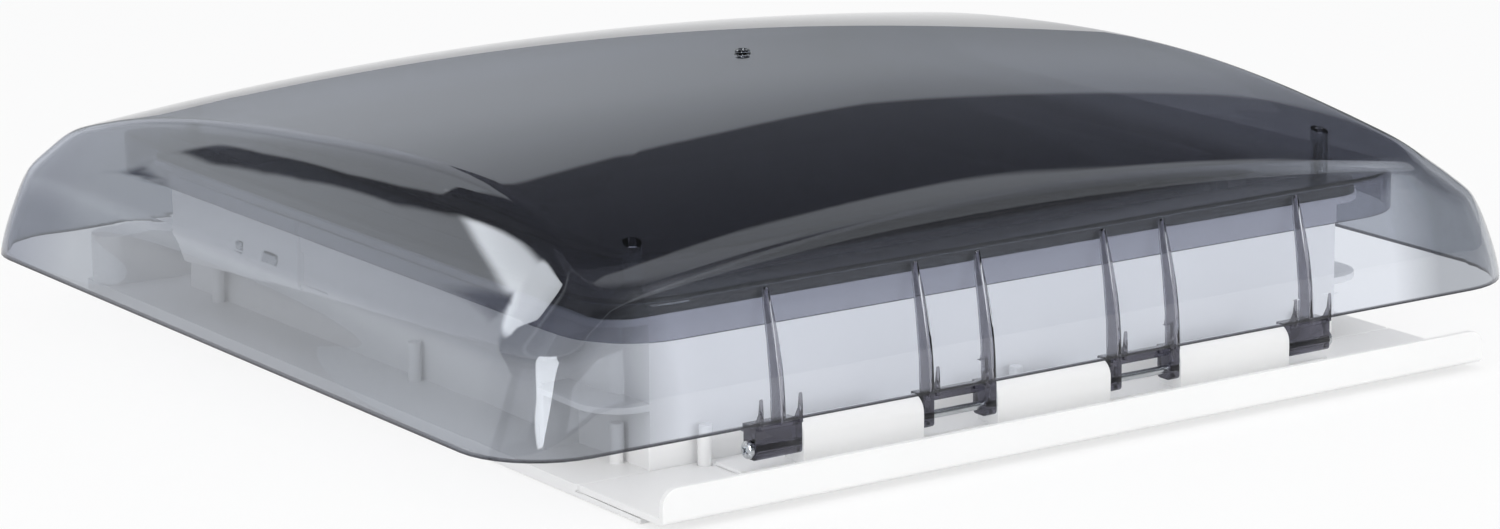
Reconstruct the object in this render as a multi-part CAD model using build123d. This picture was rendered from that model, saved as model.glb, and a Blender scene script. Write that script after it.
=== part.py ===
from build123d import *
import math
import os

# Roof hatch for a caravan or camper, closed, seen as it stands on the roof.
# Origin: centre of the roof cut-out, on the underside of the flange.
# +X runs along the hinge, +Y from the hinge to the free edge, +Z up. Millimetres.

# Roof frame, moulded ABS
frame_width = 400.0          # width of the hinge-side wall, the nominal hatch size
wall = 4.0                   # wall of the upstand round the opening
skin = 3.5                   # wall of the hollow side bulges and end walls
frame_height = 77.0          # top of the upstand, where the pane seal sits
upper_wall_step = 4.0        # the upper wall stands this far outside the lower one
end_wall_step = 19.1         # the hinge-side wall stands this far outside the opening line
far_wall_step = 15.0         # the far wall does the same
land_overhang = 23.5         # seal land past the opening line, left and right
land_thickness = 3.5
land_corner = 20.0
flange_thickness = 6.2
flange_side = 37.1           # flange past the opening line, left and right
flange_far = 62.0            # flange past the opening line at the free side
tongue_length = 50.0         # thin flange under the rain deflector
tongue_thickness = 2.6
ledge_height = 37.0          # shelf round each hinge-side corner
ledge_thickness = 3.2
recess_depth = 57.0          # open corner under each shelf, along Y
web_thickness = 4.0
sealant_groove_width = 8.0
sealant_groove_depth = 1.2
sealant_groove_inset = 8.0
post_diameter = 6.4          # screw posts on the flange
small_faces = 12             # faces round a small post, boss, screw or screw hole
post_height = 19.0
post_pilot = 1.6             # radius of the blind pilot hole in each post
side_post_offset = 4.6       # post axis past the opening line, left and right
side_post_hinge = -199.0     # where the side posts stand along Y
side_post_middle = -22.0
side_post_far = 176.0
end_post_x = 174.0           # where the outer hinge-side posts stand along X
end_post_offset = 24.8       # their axis past the opening line

# Far platform under the free edge
platform_depth = 24.0
platform_height = 32.0
platform_corner = 14.0

# Side bulges that take the bail arms
bulge_depth = 24.0           # outer face past the opening line
bulge_hinge_end = -180.0
bulge_far_end = 183.0
bulge_drop_hinge = 25.0      # sloped lower edge below the top of the upstand, at each end
bulge_drop_far = 46.0
bulge_corner = 12.0
channel_width = 14.0         # open top of the bulge, from the inner face outwards
housing_start = 52.0         # lock housing, the deeper far part of each bulge
housing_extra = 2.0
notch_width = 26.0
notch_height = 15.0
notch_depth = 1.5

# Rain deflector, a separate L-shaped strip
deflector_thickness = 3.3
deflector_gap = 0.3
lip_face = 87.3              # outer face of the upturned lip past the opening line
lip_top = 19.3
lip_thickness = 3.0
lip_corner = 8.0

# Hinge
hinge_offset = 51.0          # hinge axis past the opening line
hinge_height = 18.0
rod_radius = 2.0
rod_half_length = 124.0
running_gap = 0.05           # radial clearance of every pin in its bore
bar_end = 141.8              # outer end of the outer bearing bars
ear_outer = 74.4             # middle brackets: outer and inner ear faces
ear_outer_inside = 68.7
ear_inner = 33.3
ear_inner_inside = 39.7
side_gap = 0.4               # end play between bars and knuckles
bar_front = 5.0              # bar faces before and behind the hinge axis
bar_back = 10.5
bar_top = 28.6
bar_round = 7.5
strip_half_length = 171.0
strip_thickness = 1.8
strip_front = 1.5            # strip edges, from the hinge axis towards the wall
strip_back = 22.0
knuckle_end = 167.0
knuckle_front = 4.6
knuckle_back = 5.4
knuckle_low = 4.8
knuckle_top = 28.9
pivot_screw_radius = 2.1
pivot_screw_grip = 15.0      # thread length inside the bar
pivot_head_radius = 4.2
pivot_head_height = 2.6
strip_screw_radius = 1.75
strip_screw_head = 3.4
strip_screw_x = 108.0

# Outer dome, one smoked moulding
dome_wall = 3.2
rim_height = 30.5
rim_half_x = 296.7
rim_hinge = 259.5            # rim past the centre, hinge side and free side
rim_far = 273.3
shoulder_hinge = 236.0       # crease between skirt and crown, hinge side and free side
shoulder_far = 251.7
shoulder_hinge_height = 109.7
shoulder_far_height = 103.6
side_profile = ((0.0, 0.0), (41.5, 8.6), (51.5, 16.9), (61.5, 28.9), (77.5, 45.3),
                (92.9, 62.7))  # rise above the rim, step inwards
side_slope = 1.5             # further step inwards for each mm of rise above that
rim_corner = 42.0
shoulder_corner = 26.0
side_bow = 23.7              # how much the sides bow outwards near the crown
bow_height = 105.5
dome_headroom = 30.4         # from the crown of the pane to the crown of the dome
crown_side_drop = 13.0       # fall of the crown at crown_reach, left and right
crown_end_drop = 15.4        # fall at crown_reach along Y, square term
crown_end_curl = 11.9        # fourth power term
crown_tilt = -10.3           # straight term
crown_twist = 9.3            # third power term
crown_reach = 235.0
crown_strips = 4             # strips of the crown to each side of the middle
nub_radius = 3.4
nub_height = 2.4
nub_x = 8.0
nub_y = 12.0

# Ribs and bosses inside the dome
rib_thickness = 2.6
rib_low_edge = 15.0          # inner edge of the ribs, from the hinge axis towards the wall
rib_high_edge = 8.2
rib_straight_top = 64.0
rib_slant_top = 72.0
rib_tip = 92.0
rib_end_x = 153.4
rib_outer_x = 71.5
rib_inner_x = 36.5
fin_thickness = 2.0
fin_top = 46.0
web_bar_height = 5.0
boss_radius = 4.2
boss_x = 199.5
boss_y = 207.0
pane_screw_radius = 1.9
pane_screw_head = 4.0
pane_screw_head_height = 2.4
pane_screw_grip = 12.0

# Inner pane, a smoked tray with a crowned centre
pane_half_x = 236.9
pane_half_y = 241.4
pane_lap = 5.9               # how far the pane hangs below the top of the upstand
pane_wall = 2.2
pane_corner = 38.0
pane_centre_half = 190.0
pane_centre_corner = 34.0
pane_crown_rise = 15.6       # crown of the pane above its flat rim
pane_crown_drop = 7.0
pane_strips = 2              # strips of its crown to each side of the middle

# Pane seal, a rubber strip on top of the upstand
seal_width = 7.5
seal_height = 10.8
seal_inset = 0.5
seal_squeeze = 0.4           # gap left under the pane, so that nothing overlaps

# Lifting bail and its guides
bail_pivot_y = -120.0
bail_pivot_drop = 13.0       # pivot below the top of the upstand
pivot_pin_radius = 3.0
pivot_pin_head = 6.0
pivot_pin_head_height = 1.8
arm_thickness = 8.0
arm_gap = 3.0                # between the arm and the inner face of the wall
hub_radius = 9.0
crossbar_y = 162.0
crossbar_half = 16.0
crossbar_drop = 5.0          # top of the crossbar below the top of the upstand
crossbar_depth = 22.0
crossbar_wall = 3.0
crossbar_ribs = 3
arm_foot = 6.0               # arms reach this far below the crossbar
arm_toe = 8.0
shoe_radius = 8.0
shoe_width = 14.0
shoe_x = 150.0
shoe_peg = 2.5
rail_gap = 1.1               # between the shoe and the rail when closed
rail_width = 14.0
rail_flange = 3.0
rail_near = 106.0
rail_far = 180.0
rail_seat_gap = 0.2

# Lock inside the crossbar: knob, pinion and two rack bolts
module = 1.0
teeth = 12
pressure_angle = 25.0
tooth_head = 0.8
tooth_foot = 1.1
backlash = 0.3
bolt_width = 8.0
bolt_height = 8.0
bolt_rise = 6.0              # bolts above the underside of the crossbar
bolt_gap = 0.4
bolt_rack_depth = 5.2
rack_inner_end = 18.0
rack_shoulder = 22.0
shoulder_width = 8.0
bolt_tip_gap = 1.0           # bolt tip past the arm when it is drawn back
bolt_nose = 1.5
cover_thickness = 2.6
cover_gap = 0.3
knob_radius = 21.0
knob_disc = 4.5
wing_length = 38.0
wing_width = 9.0
wing_height = 9.0
knob_shaft_radius = 5.0
knob_spigot = 4.6            # square end that carries the pinion
knob_screw_radius = 1.25
knob_screw_head = 3.0
keeper_thickness = 1.3
keeper_near = 74.0
keeper_nose_length = 16.0
keeper_nose_reach = 7.0
tab_one_y = 111.0
tab_two_y = 79.5
tab_one_width = 5.0
tab_two_width = 13.0
tab_height = 3.4
tab_drop = 6.0               # middle of the tabs below the bolts
tab_proud = 1.2
fit_gap = 0.3                # between pieces that are only seated

# Derived places
half = frame_width / 2
inner = half - wall
upper_half = half + upper_wall_step
hinge_wall_y = -(half + end_wall_step)
far_wall_y = half + far_wall_step
land_half = half + land_overhang
flange_half = half + flange_side
flange_far_y = half + flange_far
tongue_y = hinge_wall_y - tongue_length
lip_y = -(half + lip_face)
hinge_y = -(half + hinge_offset)
deflector_low = tongue_thickness + deflector_gap
deflector_top = deflector_low + deflector_thickness
strip_top = deflector_top + strip_thickness
seal_top = frame_height + seal_height
pane_under = seal_top + seal_squeeze
pane_flat = pane_under + pane_wall
pane_low = frame_height - pane_lap
pane_crown_height = pane_flat + pane_crown_rise
crown_height = pane_crown_height + dome_headroom
bulge_low_hinge = frame_height - bulge_drop_hinge
bulge_low_far = frame_height - bulge_drop_far
bulge_half = half + bulge_depth
channel_half = bulge_half - skin
arm_inner = inner + arm_gap
arm_outer = arm_inner + arm_thickness
bail_pivot_z = frame_height - bail_pivot_drop
crossbar_top = frame_height - crossbar_drop
crossbar_low = crossbar_top - crossbar_depth
arm_far_low = crossbar_low - arm_foot
bolt_low = crossbar_low + bolt_rise
tab_z = bolt_low - tab_drop
shoe_z = crossbar_top + shoe_radius / 2
rail_low = shoe_z + shoe_radius + rail_gap
pinion_radius = module * teeth / 2
bolt_mid = bolt_low + bolt_height / 2
cover_low = crossbar_low
cover_top = crossbar_low + cover_thickness
bolt_tip = arm_outer + bolt_tip_gap


def block(x0, x1, y0, y1, z0, z1):
    """Straight block between two corners."""
    size = Box(abs(x1 - x0), abs(y1 - y0), abs(z1 - z0))
    return Pos((x0 + x1) / 2, (y0 + y1) / 2, (z0 + z1) / 2) * size


def plate(x0, x1, y0, y1, corner, z0, z1):
    """Upright prism with rounded corners."""
    face = RectangleRounded(x1 - x0, y1 - y0, corner)
    return Pos((x0 + x1) / 2, (y0 + y1) / 2, z0) * extrude(face, z1 - z0)


def pin_x(radius, x0, x1, y, z):
    """Round pin along X."""
    face = Plane.YZ.offset(x0) * Pos(y, z) * Circle(radius)
    return extrude(face, x1 - x0)


def pin_z(radius, z0, z1, x, y):
    """Round pin along Z."""
    return Pos(x, y, z0) * extrude(Circle(radius), z1 - z0)


def small_round(radius, z0, z1, x, y):
    """Small upright pin or hole with few faces, where nothing turns."""
    return Pos(x, y, z0) * extrude(RegularPolygon(radius, small_faces), z1 - z0)


def side_prism(points, x0, x1, corner=0.0):
    """Outline in the YZ plane, drawn out along X."""
    face = make_face(Polyline(*points, close=True))
    if corner > 0:
        face = fillet(face.vertices(), corner)
    return Pos(x0, 0, 0) * extrude(Plane.YZ * face, x1 - x0)


def both_sides(solid):
    """The solid and its mirror image across the YZ plane."""
    return solid + mirror(solid, about=Plane.YZ)


def bulge_outline(inset):
    """Side view of a bulge: sloped lower edge, chamfered far corner."""
    top = frame_height - land_thickness
    near = bulge_hinge_end + inset
    far = bulge_far_end - inset
    low_near = bulge_low_hinge + inset
    low_far = bulge_low_far + inset
    return [(near, top), (near, low_near + bulge_corner), (near + bulge_corner, low_near),
            (far - bulge_corner, low_far), (far, low_far + bulge_corner), (far, top)]


def post_places():
    """Centres of the screw posts on the flange."""
    side_x = half + side_post_offset
    end_y = -(half + end_post_offset)
    places = [(s * side_x, y) for s in (-1, 1)
              for y in (side_post_hinge, side_post_middle, side_post_far)]
    places += [(x, end_y) for x in (-end_post_x, 0.0, end_post_x)]
    return places


def frame_walls():
    """Upstand, seal land, corner shelves, side bulges and far platform."""
    body = block(-half, half, hinge_wall_y, far_wall_y, 0, frame_height)
    body += plate(-upper_half, upper_half, -half, far_wall_y, land_corner / 2,
                  ledge_height, frame_height)
    body += plate(-land_half, land_half, hinge_wall_y, -hinge_wall_y, land_corner,
                  frame_height - land_thickness, frame_height)
    shelf = plate(-land_half, land_half, hinge_wall_y, -hinge_wall_y, land_corner,
                  ledge_height - ledge_thickness, ledge_height)
    shelf_end = hinge_wall_y + recess_depth
    body += shelf & block(-land_half, land_half, hinge_wall_y, shelf_end, 0, frame_height)
    web = block(half, land_half - skin, shelf_end, shelf_end + web_thickness, 0, ledge_height)
    bulge = side_prism(bulge_outline(0), half, bulge_half)
    housing = bulge & block(0, land_half * 2, housing_start, bulge_far_end, 0, frame_height)
    housing = Pos(housing_extra, 0, 0) * housing
    body += both_sides(web + bulge + housing)
    return body + platform()


def platform():
    """Hollow raised step under the free edge of the dome."""
    near = flange_far_y - platform_depth
    outer = plate(-flange_half, flange_half, near, flange_far_y, platform_corner * 0.8,
                  0, platform_height)
    hollow = plate(-flange_half + skin, flange_half - skin, near + skin,
                   flange_far_y - skin, platform_corner * 0.8 - skin, -1,
                   platform_height - skin)
    ribs = [Pos(i * flange_half / 3, (near + flange_far_y) / 2, platform_height / 2)
            * Box(skin, platform_depth - skin, platform_height - skin)
            for i in range(-2, 3)]
    outer = outer - hollow
    for rib in ribs:
        outer += rib
    return outer


def wall_hollows():
    """Pockets from below inside the hinge-side and far walls, with ribs between."""
    count = 6
    step = (2 * half - skin) / count
    top = frame_height - skin
    cuts = []
    for i in range(count):
        x0 = -half + skin + i * step
        x1 = x0 + step - skin
        cuts.append(block(x0, x1, hinge_wall_y + skin, -inner - skin, -1, top))
        cuts.append(block(x0, x1, inner + skin, far_wall_y - skin, -1, top))
    return cuts


def sealant_groove():
    """Groove for sealant round the underside of the flange."""
    edge = sealant_groove_inset
    x1 = flange_half - edge
    y0 = tongue_y + edge
    y1 = flange_far_y - platform_depth - edge / 2
    ring = plate(-x1, x1, y0, y1, platform_corner, -1, sealant_groove_depth)
    width = sealant_groove_width
    return ring - plate(-x1 + width, x1 - width, y0 + width, y1 - width,
                        platform_corner - width / 2, -2, sealant_groove_depth + 1)


def channel_cut():
    """Inside of one bulge: the channel that the bail arm swings out of."""
    cavity = side_prism(bulge_outline(skin), inner - 1, channel_half)
    slot = block(inner - 1, inner + channel_width, bulge_hinge_end + skin,
                 bulge_far_end - skin, frame_height - land_thickness - 1, frame_height + 1)
    return cavity + slot


def roof_frame():
    """White frame that is bonded and screwed to the roof."""
    body = frame_walls()
    body += plate(-flange_half, flange_half, hinge_wall_y, flange_far_y, 3, 0,
                  flange_thickness)
    body += block(-flange_half, flange_half, tongue_y, hinge_wall_y + 4, 0, tongue_thickness)
    for x, y in post_places():
        body += small_round(post_diameter / 2, 0, flange_thickness + post_height, x, y)
    body -= plate(-inner, inner, -inner, inner, 6, -1, frame_height + 1)
    for cut in wall_hollows():
        body -= cut
    boss = pin_x(hub_radius - 2, arm_outer + 1, channel_half + 1, bail_pivot_y, bail_pivot_z)
    cut = channel_cut() - boss
    bore = pin_x(pivot_pin_radius + running_gap, arm_outer, channel_half + 0.5,
                 bail_pivot_y, bail_pivot_z)
    notch = block(bulge_half - notch_depth, bulge_half + 5, housing_start - notch_width,
                  housing_start, tab_z - notch_height / 2, tab_z + notch_height / 2)
    tabs = [block(channel_half - 1, bulge_half + 5, y - w / 2 - fit_gap, y + w / 2 + fit_gap,
                  tab_z - tab_height / 2 - fit_gap, tab_z + tab_height / 2 + fit_gap)
            for y, w in ((tab_one_y, tab_one_width), (tab_two_y, tab_two_width))]
    body -= both_sides(cut + bore + notch + tabs[0] + tabs[1])
    body -= sealant_groove()
    for x, y in post_places():
        body -= pin_z(post_pilot, -1, post_height, x, y)
    for x, y in strip_screw_places():
        body -= small_round(strip_screw_radius + 0.25, -1, flange_thickness, x, y)
        body -= small_round(strip_screw_head + fit_gap, -1, tongue_thickness - 0.9, x, y)
    return body


def strip_screw_places():
    """Centres of the screws that clamp hinge strip and deflector to the frame."""
    y = hinge_y + (bar_back - bar_front) / 2
    return [(x, y) for x in (-strip_screw_x, strip_screw_x)]


def rain_deflector():
    """White strip with an upturned lip, in front of the hinge."""
    seam = hinge_wall_y - deflector_gap
    outline = [(seam, deflector_low), (lip_y, deflector_low), (lip_y, lip_top),
               (lip_y + lip_thickness, lip_top), (lip_y + lip_thickness, deflector_top),
               (seam, deflector_top)]
    body = side_prism(outline, -flange_half, flange_half)
    low_edge = body.edges().filter_by(Axis.X).sort_by(lambda e: (e.center().Y, e.center().Z))[0]
    body = fillet(low_edge, deflector_thickness - 0.6)
    corners = [e for e in body.edges().filter_by(Axis.Y)
               if e.center().Z > lip_top - 0.1]
    body = fillet(corners, lip_corner)
    post_hole = post_diameter / 2 + fit_gap
    for x, y in post_places():
        if y < hinge_wall_y:
            body -= small_round(post_hole, 0, deflector_top + 1, x, y)
    for x, y in strip_screw_places():
        body -= small_round(strip_screw_radius + 0.25, 0, deflector_top + 1, x, y)
    return body


def bar_spans():
    """Start and end of the three bearing bars along X."""
    middle = ear_inner - side_gap
    start = ear_outer + side_gap
    end = bar_end - side_gap
    return [(-end, -start), (-middle, middle), (start, end)]


def hinge_strip():
    """White strip with three raised bearing bars for the hinge rod."""
    low = deflector_top + deflector_gap / 3
    body = block(-strip_half_length, strip_half_length, hinge_y + strip_front,
                 hinge_y + strip_back, low, strip_top)
    y0 = hinge_y - bar_front
    y1 = hinge_y + bar_back
    for x0, x1 in bar_spans():
        bar = block(x0, x1, y0, y1, low, bar_top)
        tops = bar.edges().filter_by(Axis.X).group_by(Axis.Z)[-1]
        body += fillet(tops, bar_round)
    body -= pin_x(rod_radius + running_gap, -rod_half_length - 1, rod_half_length + 1,
                  hinge_y, hinge_height)
    grip = pin_x(pivot_screw_radius + running_gap, rod_half_length + 1, bar_end + 1,
                 hinge_y, hinge_height)
    body -= both_sides(grip)
    for x, y in strip_screw_places():
        body -= small_round(strip_screw_radius + running_gap, 0, hinge_height - 5, x, y)
    post_hole = post_diameter / 2 + fit_gap
    for x, y in post_places():
        body -= small_round(post_hole, 0, strip_top + 1, x, y)
    return body


def hinge_rod():
    """Steel rod through the bars and the middle brackets."""
    return pin_x(rod_radius, -rod_half_length, rod_half_length, hinge_y, hinge_height)


def cross_recess(size, depth):
    """Cross-shaped driver recess, opening upwards from z = 0."""
    one = Box(size, size * 0.28, depth * 2)
    return one + Rot(0, 0, 90) * one


def hinge_pivot_screws():
    """Steel screws that carry the two end knuckles."""
    x0 = bar_end - pivot_screw_grip
    x1 = knuckle_end + side_gap
    shank = pin_x(pivot_screw_radius, x0, x1 + 0.5, hinge_y, hinge_height)
    head = Cylinder(pivot_head_radius, pivot_head_height,
                    align=(Align.CENTER, Align.CENTER, Align.MIN))
    rim = head.edges().group_by(Axis.Z)[-1]
    head = chamfer(rim, pivot_head_height * 0.4)
    head -= Pos(0, 0, pivot_head_height) * cross_recess(pivot_head_radius * 1.2,
                                                        pivot_head_height * 0.5)
    head = Pos(x1, hinge_y, hinge_height) * Rot(0, 90, 0) * head
    return both_sides(shank + head)


def hinge_strip_screws():
    """Countersunk screws from below, through deflector and strip."""
    body = None
    for x, y in strip_screw_places():
        shank = small_round(strip_screw_radius, 0.4, hinge_height - 6, x, y)
        head = small_round(strip_screw_head, 0.3, tongue_thickness - 1.2, x, y)
        body = shank + head if body is None else body + shank + head
    return body


def crown_fall(y):
    """Height lost by the crown along Y."""
    t = y / crown_reach
    return (crown_end_drop * t ** 2 + crown_end_curl * t ** 4
            - crown_tilt * t - crown_twist * t ** 3)


def crown_block(lower):
    """Everything under the crown surface, lowered by the given amount."""
    reach_x = rim_half_x + 15
    y0 = -(rim_hinge + 15)
    y1 = rim_far + 15
    count = 8
    sections = []
    for i in range(-crown_strips, crown_strips + 1):
        x = i * reach_x / crown_strips
        top = crown_height - lower - crown_side_drop * (x / crown_reach) ** 2
        points = []
        for k in range(count + 1):
            y = y0 + (y1 - y0) * k / count
            points.append((y, top - crown_fall(y)))
        arch = Spline(*points)
        sides = Polyline(points[-1], (y1, rim_height - 10), (y0, rim_height - 10), points[0])
        sections.append(Plane.YZ.offset(x) * make_face(arch + sides))
    return loft(sections, ruled=True)


def skirt_level(rise, step_in):
    """Half width, hinge reach, far reach, bow and corner of the skirt at a rise."""
    half_x = rim_half_x - step_in
    hinge_share = (rise / (shoulder_hinge_height - rim_height)) ** 2
    far_share = (rise / (shoulder_far_height - rim_height)) ** 2
    reach_hinge = rim_hinge - (rim_hinge - shoulder_hinge) * hinge_share
    reach_far = rim_far - (rim_far - shoulder_far) * far_share
    bow_share = rise / (bow_height - rim_height)
    bow = side_bow * bow_share ** 1.5
    corner = rim_corner + (shoulder_corner - rim_corner) * min(bow_share, 1.2)
    return half_x, reach_hinge, reach_far, bow, corner


def skirt_section(rise, step_in, inset):
    """Outline of the dome at a rise above the rim: bowed sides, rounded corners."""
    half_x, reach_hinge, reach_far, bow, corner = skirt_level(rise, step_in)
    x = half_x - inset
    y0 = -(reach_hinge - inset)
    y1 = reach_far - inset
    middle = (y0 + y1) / 2
    end_x = x - max(bow, 0.05)
    right = ThreePointArc((end_x, y0), (x, middle), (end_x, y1))
    left = ThreePointArc((-end_x, y1), (-x, middle), (-end_x, y0))
    far = Line((end_x, y1), (-end_x, y1))
    near = Line((-end_x, y0), (end_x, y0))
    face = make_face(Curve() + [right, far, left, near])
    face = fillet(face.vertices(), corner - inset)
    return Pos(0, 0, rim_height + rise) * face


def dome_solid(inset):
    """Filled dome shape, smaller by the given inset on every face."""
    crease_rise, crease_step = side_profile[-1]
    top_rise = crown_height - rim_height + 2 * dome_wall
    top_step = crease_step + (top_rise - crease_rise) * side_slope
    rows = side_profile + ((top_rise, top_step),)
    sections = [skirt_section(rise, step_in, inset) for rise, step_in in rows]
    return loft(sections, ruled=True) & crown_block(inset)


def rib_outline():
    """Side view of a rib between hinge and dome."""
    back = hinge_y + rib_low_edge
    high = hinge_y + rib_high_edge
    front = -(rim_hinge + 5)
    return [(front, knuckle_top - 0.5), (back, knuckle_top - 0.5), (back, rib_straight_top),
            (high, rib_slant_top), (high - 0.4, rib_tip - 8), (high - 3.5, rib_tip),
            (front, rib_tip)]


def fin_outline():
    """Side view of a gusset fin beside a rib."""
    back = hinge_y + knuckle_back
    return [(-(rim_hinge + 5), knuckle_top - 0.5), (back, knuckle_top - 0.5),
            (hinge_y - 2.5, fin_top), (-(rim_hinge + 5), fin_top)]


def centred(x, width):
    """Start and end of a wall of the given width about x."""
    return x - width / 2, x + width / 2


def knuckle_block(x0, x1):
    """One knuckle with a rounded lower side."""
    y0 = hinge_y - knuckle_front
    y1 = hinge_y + knuckle_back
    body = block(x0, x1, y0, y1, hinge_height - knuckle_low, knuckle_top)
    lows = body.edges().filter_by(Axis.X).group_by(Axis.Z)[0]
    return fillet(lows, knuckle_low * 0.45)


def dome_hinge():
    """Ribs, fins, knuckles and ears of one side of the dome."""
    ribs = [side_prism(rib_outline(), *centred(x, rib_thickness))
            for x in (rib_end_x, rib_outer_x, rib_inner_x)]
    fins = [side_prism(fin_outline(), *centred(x, fin_thickness))
            for x in (knuckle_end - fin_thickness, bar_end + fin_thickness,
                      ear_outer_inside - fin_thickness / 3, ear_inner_inside + fin_thickness / 3)]
    body = ribs[0]
    for piece in ribs[1:] + fins:
        body += piece
    foot = block(bar_end + 0.3, knuckle_end, hinge_y - knuckle_front, hinge_y + rib_low_edge,
                 knuckle_top - 4, knuckle_top)
    body += foot
    body += knuckle_block(bar_end, knuckle_end)
    body += knuckle_block(ear_outer_inside, ear_outer)
    body += knuckle_block(ear_inner, ear_inner_inside)
    for x0, x1 in ((ear_outer_inside, ear_outer), (ear_inner, ear_inner_inside)):
        body += block(x0, x1, hinge_y - knuckle_front, hinge_y + rib_low_edge,
                      knuckle_top - 4, knuckle_top)
    cross = block(ear_inner_inside - 1, ear_outer_inside + 1, hinge_y + 1,
                  hinge_y + knuckle_back, knuckle_top - web_bar_height, knuckle_top)
    return body + cross


def dome_bores():
    """Bores for the hinge rod and the pivot screws, one side."""
    rod = pin_x(rod_radius + running_gap, ear_inner - 1, ear_outer + 1, hinge_y, hinge_height)
    screw = pin_x(pivot_screw_radius + running_gap, bar_end - 1, knuckle_end + 1,
                  hinge_y, hinge_height)
    return rod + screw


def boss_places():
    """Centres of the four pane bosses."""
    return [(sx * boss_x, sy * boss_y) for sx in (-1, 1) for sy in (-1, 1)]


def outer_dome():
    """Smoked outer dome with its hinge ribs, pane bosses and moulding gate."""
    outer = dome_solid(0)
    inside = dome_solid(dome_wall)
    shell = outer - inside
    limit = outer + block(-rim_half_x, rim_half_x, -rim_hinge + dome_wall / 2, 0,
                          0, rim_height + 1)
    hinge = dome_hinge() & limit
    shell += both_sides(hinge)
    for x, y in boss_places():
        shell += small_round(boss_radius, pane_flat, crown_height, x, y) & outer
    shell += small_round(nub_radius, crown_height - 8, crown_height + nub_height,
                         nub_x, nub_y) - inside
    for x, y in boss_places():
        shell -= small_round(pane_screw_radius + running_gap, pane_flat - 1,
                             pane_flat + pane_screw_grip, x, y)
    return shell - both_sides(dome_bores())


def pane_crown(lower):
    """Everything under the crowned centre of the pane, lowered by the given amount."""
    reach = pane_centre_half * 1.3
    sections = []
    for i in range(-pane_strips, pane_strips + 1):
        x = i * reach / pane_strips
        fall_x = pane_crown_drop * (x / pane_centre_half) ** 2
        fall_y = pane_crown_drop * (reach / pane_centre_half) ** 2
        top = pane_crown_height - lower - fall_x
        arch = ThreePointArc((-reach, top - fall_y), (0, top), (reach, top - fall_y))
        sides = Polyline((reach, top - fall_y), (reach, pane_low - 1),
                         (-reach, pane_low - 1), (-reach, top - fall_y))
        sections.append(Plane.YZ.offset(x) * make_face(arch + sides))
    return loft(sections, ruled=True)


def pane_solid(inset):
    """Filled pane shape, smaller by the given inset on every face."""
    x = pane_half_x - inset
    y = pane_half_y - inset
    rim = plate(-x, x, -y, y, pane_corner - inset, pane_low, pane_flat - inset)
    c = pane_centre_half - inset
    centre = plate(-c, c, -c, c, pane_centre_corner - inset, pane_low, crown_height)
    return rim + (centre & pane_crown(inset))


def inner_pane():
    """Smoked inner pane, an upturned tray."""
    body = pane_solid(0) - pane_solid(pane_wall)
    for x, y in boss_places():
        body -= small_round(pane_screw_radius + 0.25, pane_low, pane_flat + 1, x, y)
    return body


def pane_screws():
    """Steel screws up through the pane into the bosses of the dome."""
    body = None
    for x, y in boss_places():
        top = pane_flat + pane_screw_grip - 1
        low = pane_under - 0.1
        one = small_round(pane_screw_radius, low - 0.5, top, x, y)
        one += small_round(pane_screw_head, low - pane_screw_head_height, low, x, y)
        body = one if body is None else body + one
    return body


def pane_seal():
    """Black rubber strip on the upstand, rounded on top."""
    outer_x = half + land_overhang - seal_inset * 5
    outer_y = -hinge_wall_y - seal_inset
    low = frame_height
    ring = plate(-outer_x, outer_x, -outer_y, outer_y, land_corner - 3, low, seal_top)
    ring -= plate(-outer_x + seal_width, outer_x - seal_width, -outer_y + seal_width,
                  outer_y - seal_width, land_corner - 3 - seal_width, low - 1, seal_top + 1)
    tops = ring.edges().group_by(Axis.Z)[-1]
    return chamfer(tops, seal_width * 0.3)


def guide_rail(side):
    """Channel under the pane in which one shoe of the bail slides."""
    x = side * shoe_x
    outer = block(x - rail_width / 2 - rail_flange, x + rail_width / 2 + rail_flange,
                  rail_near, rail_far, rail_low - 5, crown_height)
    slot = block(x - rail_width / 2 - fit_gap, x + rail_width / 2 + fit_gap,
                 rail_near - 1, rail_far + 1, rail_low - 6, rail_low)
    body = outer & pane_crown(pane_wall + rail_seat_gap)
    return body - slot


def bail():
    """Lifting bail: two arms and a hollow crossbar, one moulding."""
    far = crossbar_y + crossbar_half
    near = crossbar_y - crossbar_half
    y, z = bail_pivot_y, bail_pivot_z
    outline = [(y, z + hub_radius), (far, crossbar_top), (far, arm_far_low + arm_toe),
               (far - arm_toe, arm_far_low), (near - arm_toe, arm_far_low),
               (y, z - hub_radius)]
    arm = side_prism(outline, arm_inner, arm_outer)
    arm += pin_x(hub_radius, arm_inner, arm_outer, y, z)
    bar = block(0, arm_inner + 1, near, far, crossbar_low, crossbar_top)
    w = crossbar_wall
    bar -= block(-1, arm_inner, near + w, far - w, crossbar_low - 1, crossbar_top - w)
    for k in range(1, crossbar_ribs + 1):
        x = k * arm_inner / (crossbar_ribs + 0.5)
        bar += block(x - w / 2, x + w / 2, near + w / 2, far - w / 2,
                     cover_top + fit_gap, crossbar_top - w / 2)
    body = both_sides(arm + bar)
    gap = bolt_gap / 2
    body -= block(-arm_outer - 1, arm_outer + 1, crossbar_y - bolt_width / 2 - gap,
                  crossbar_y + bolt_width / 2 + gap, bolt_low - gap,
                  bolt_low + bolt_height + gap)
    bore = pin_x(pivot_pin_radius + running_gap, arm_inner - 1, arm_outer + 1, y, z)
    peg = small_round(shoe_peg + running_gap, crossbar_top - w - 1, crossbar_top + 1,
                      shoe_x, crossbar_y)
    return body - both_sides(bore + peg)


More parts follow.
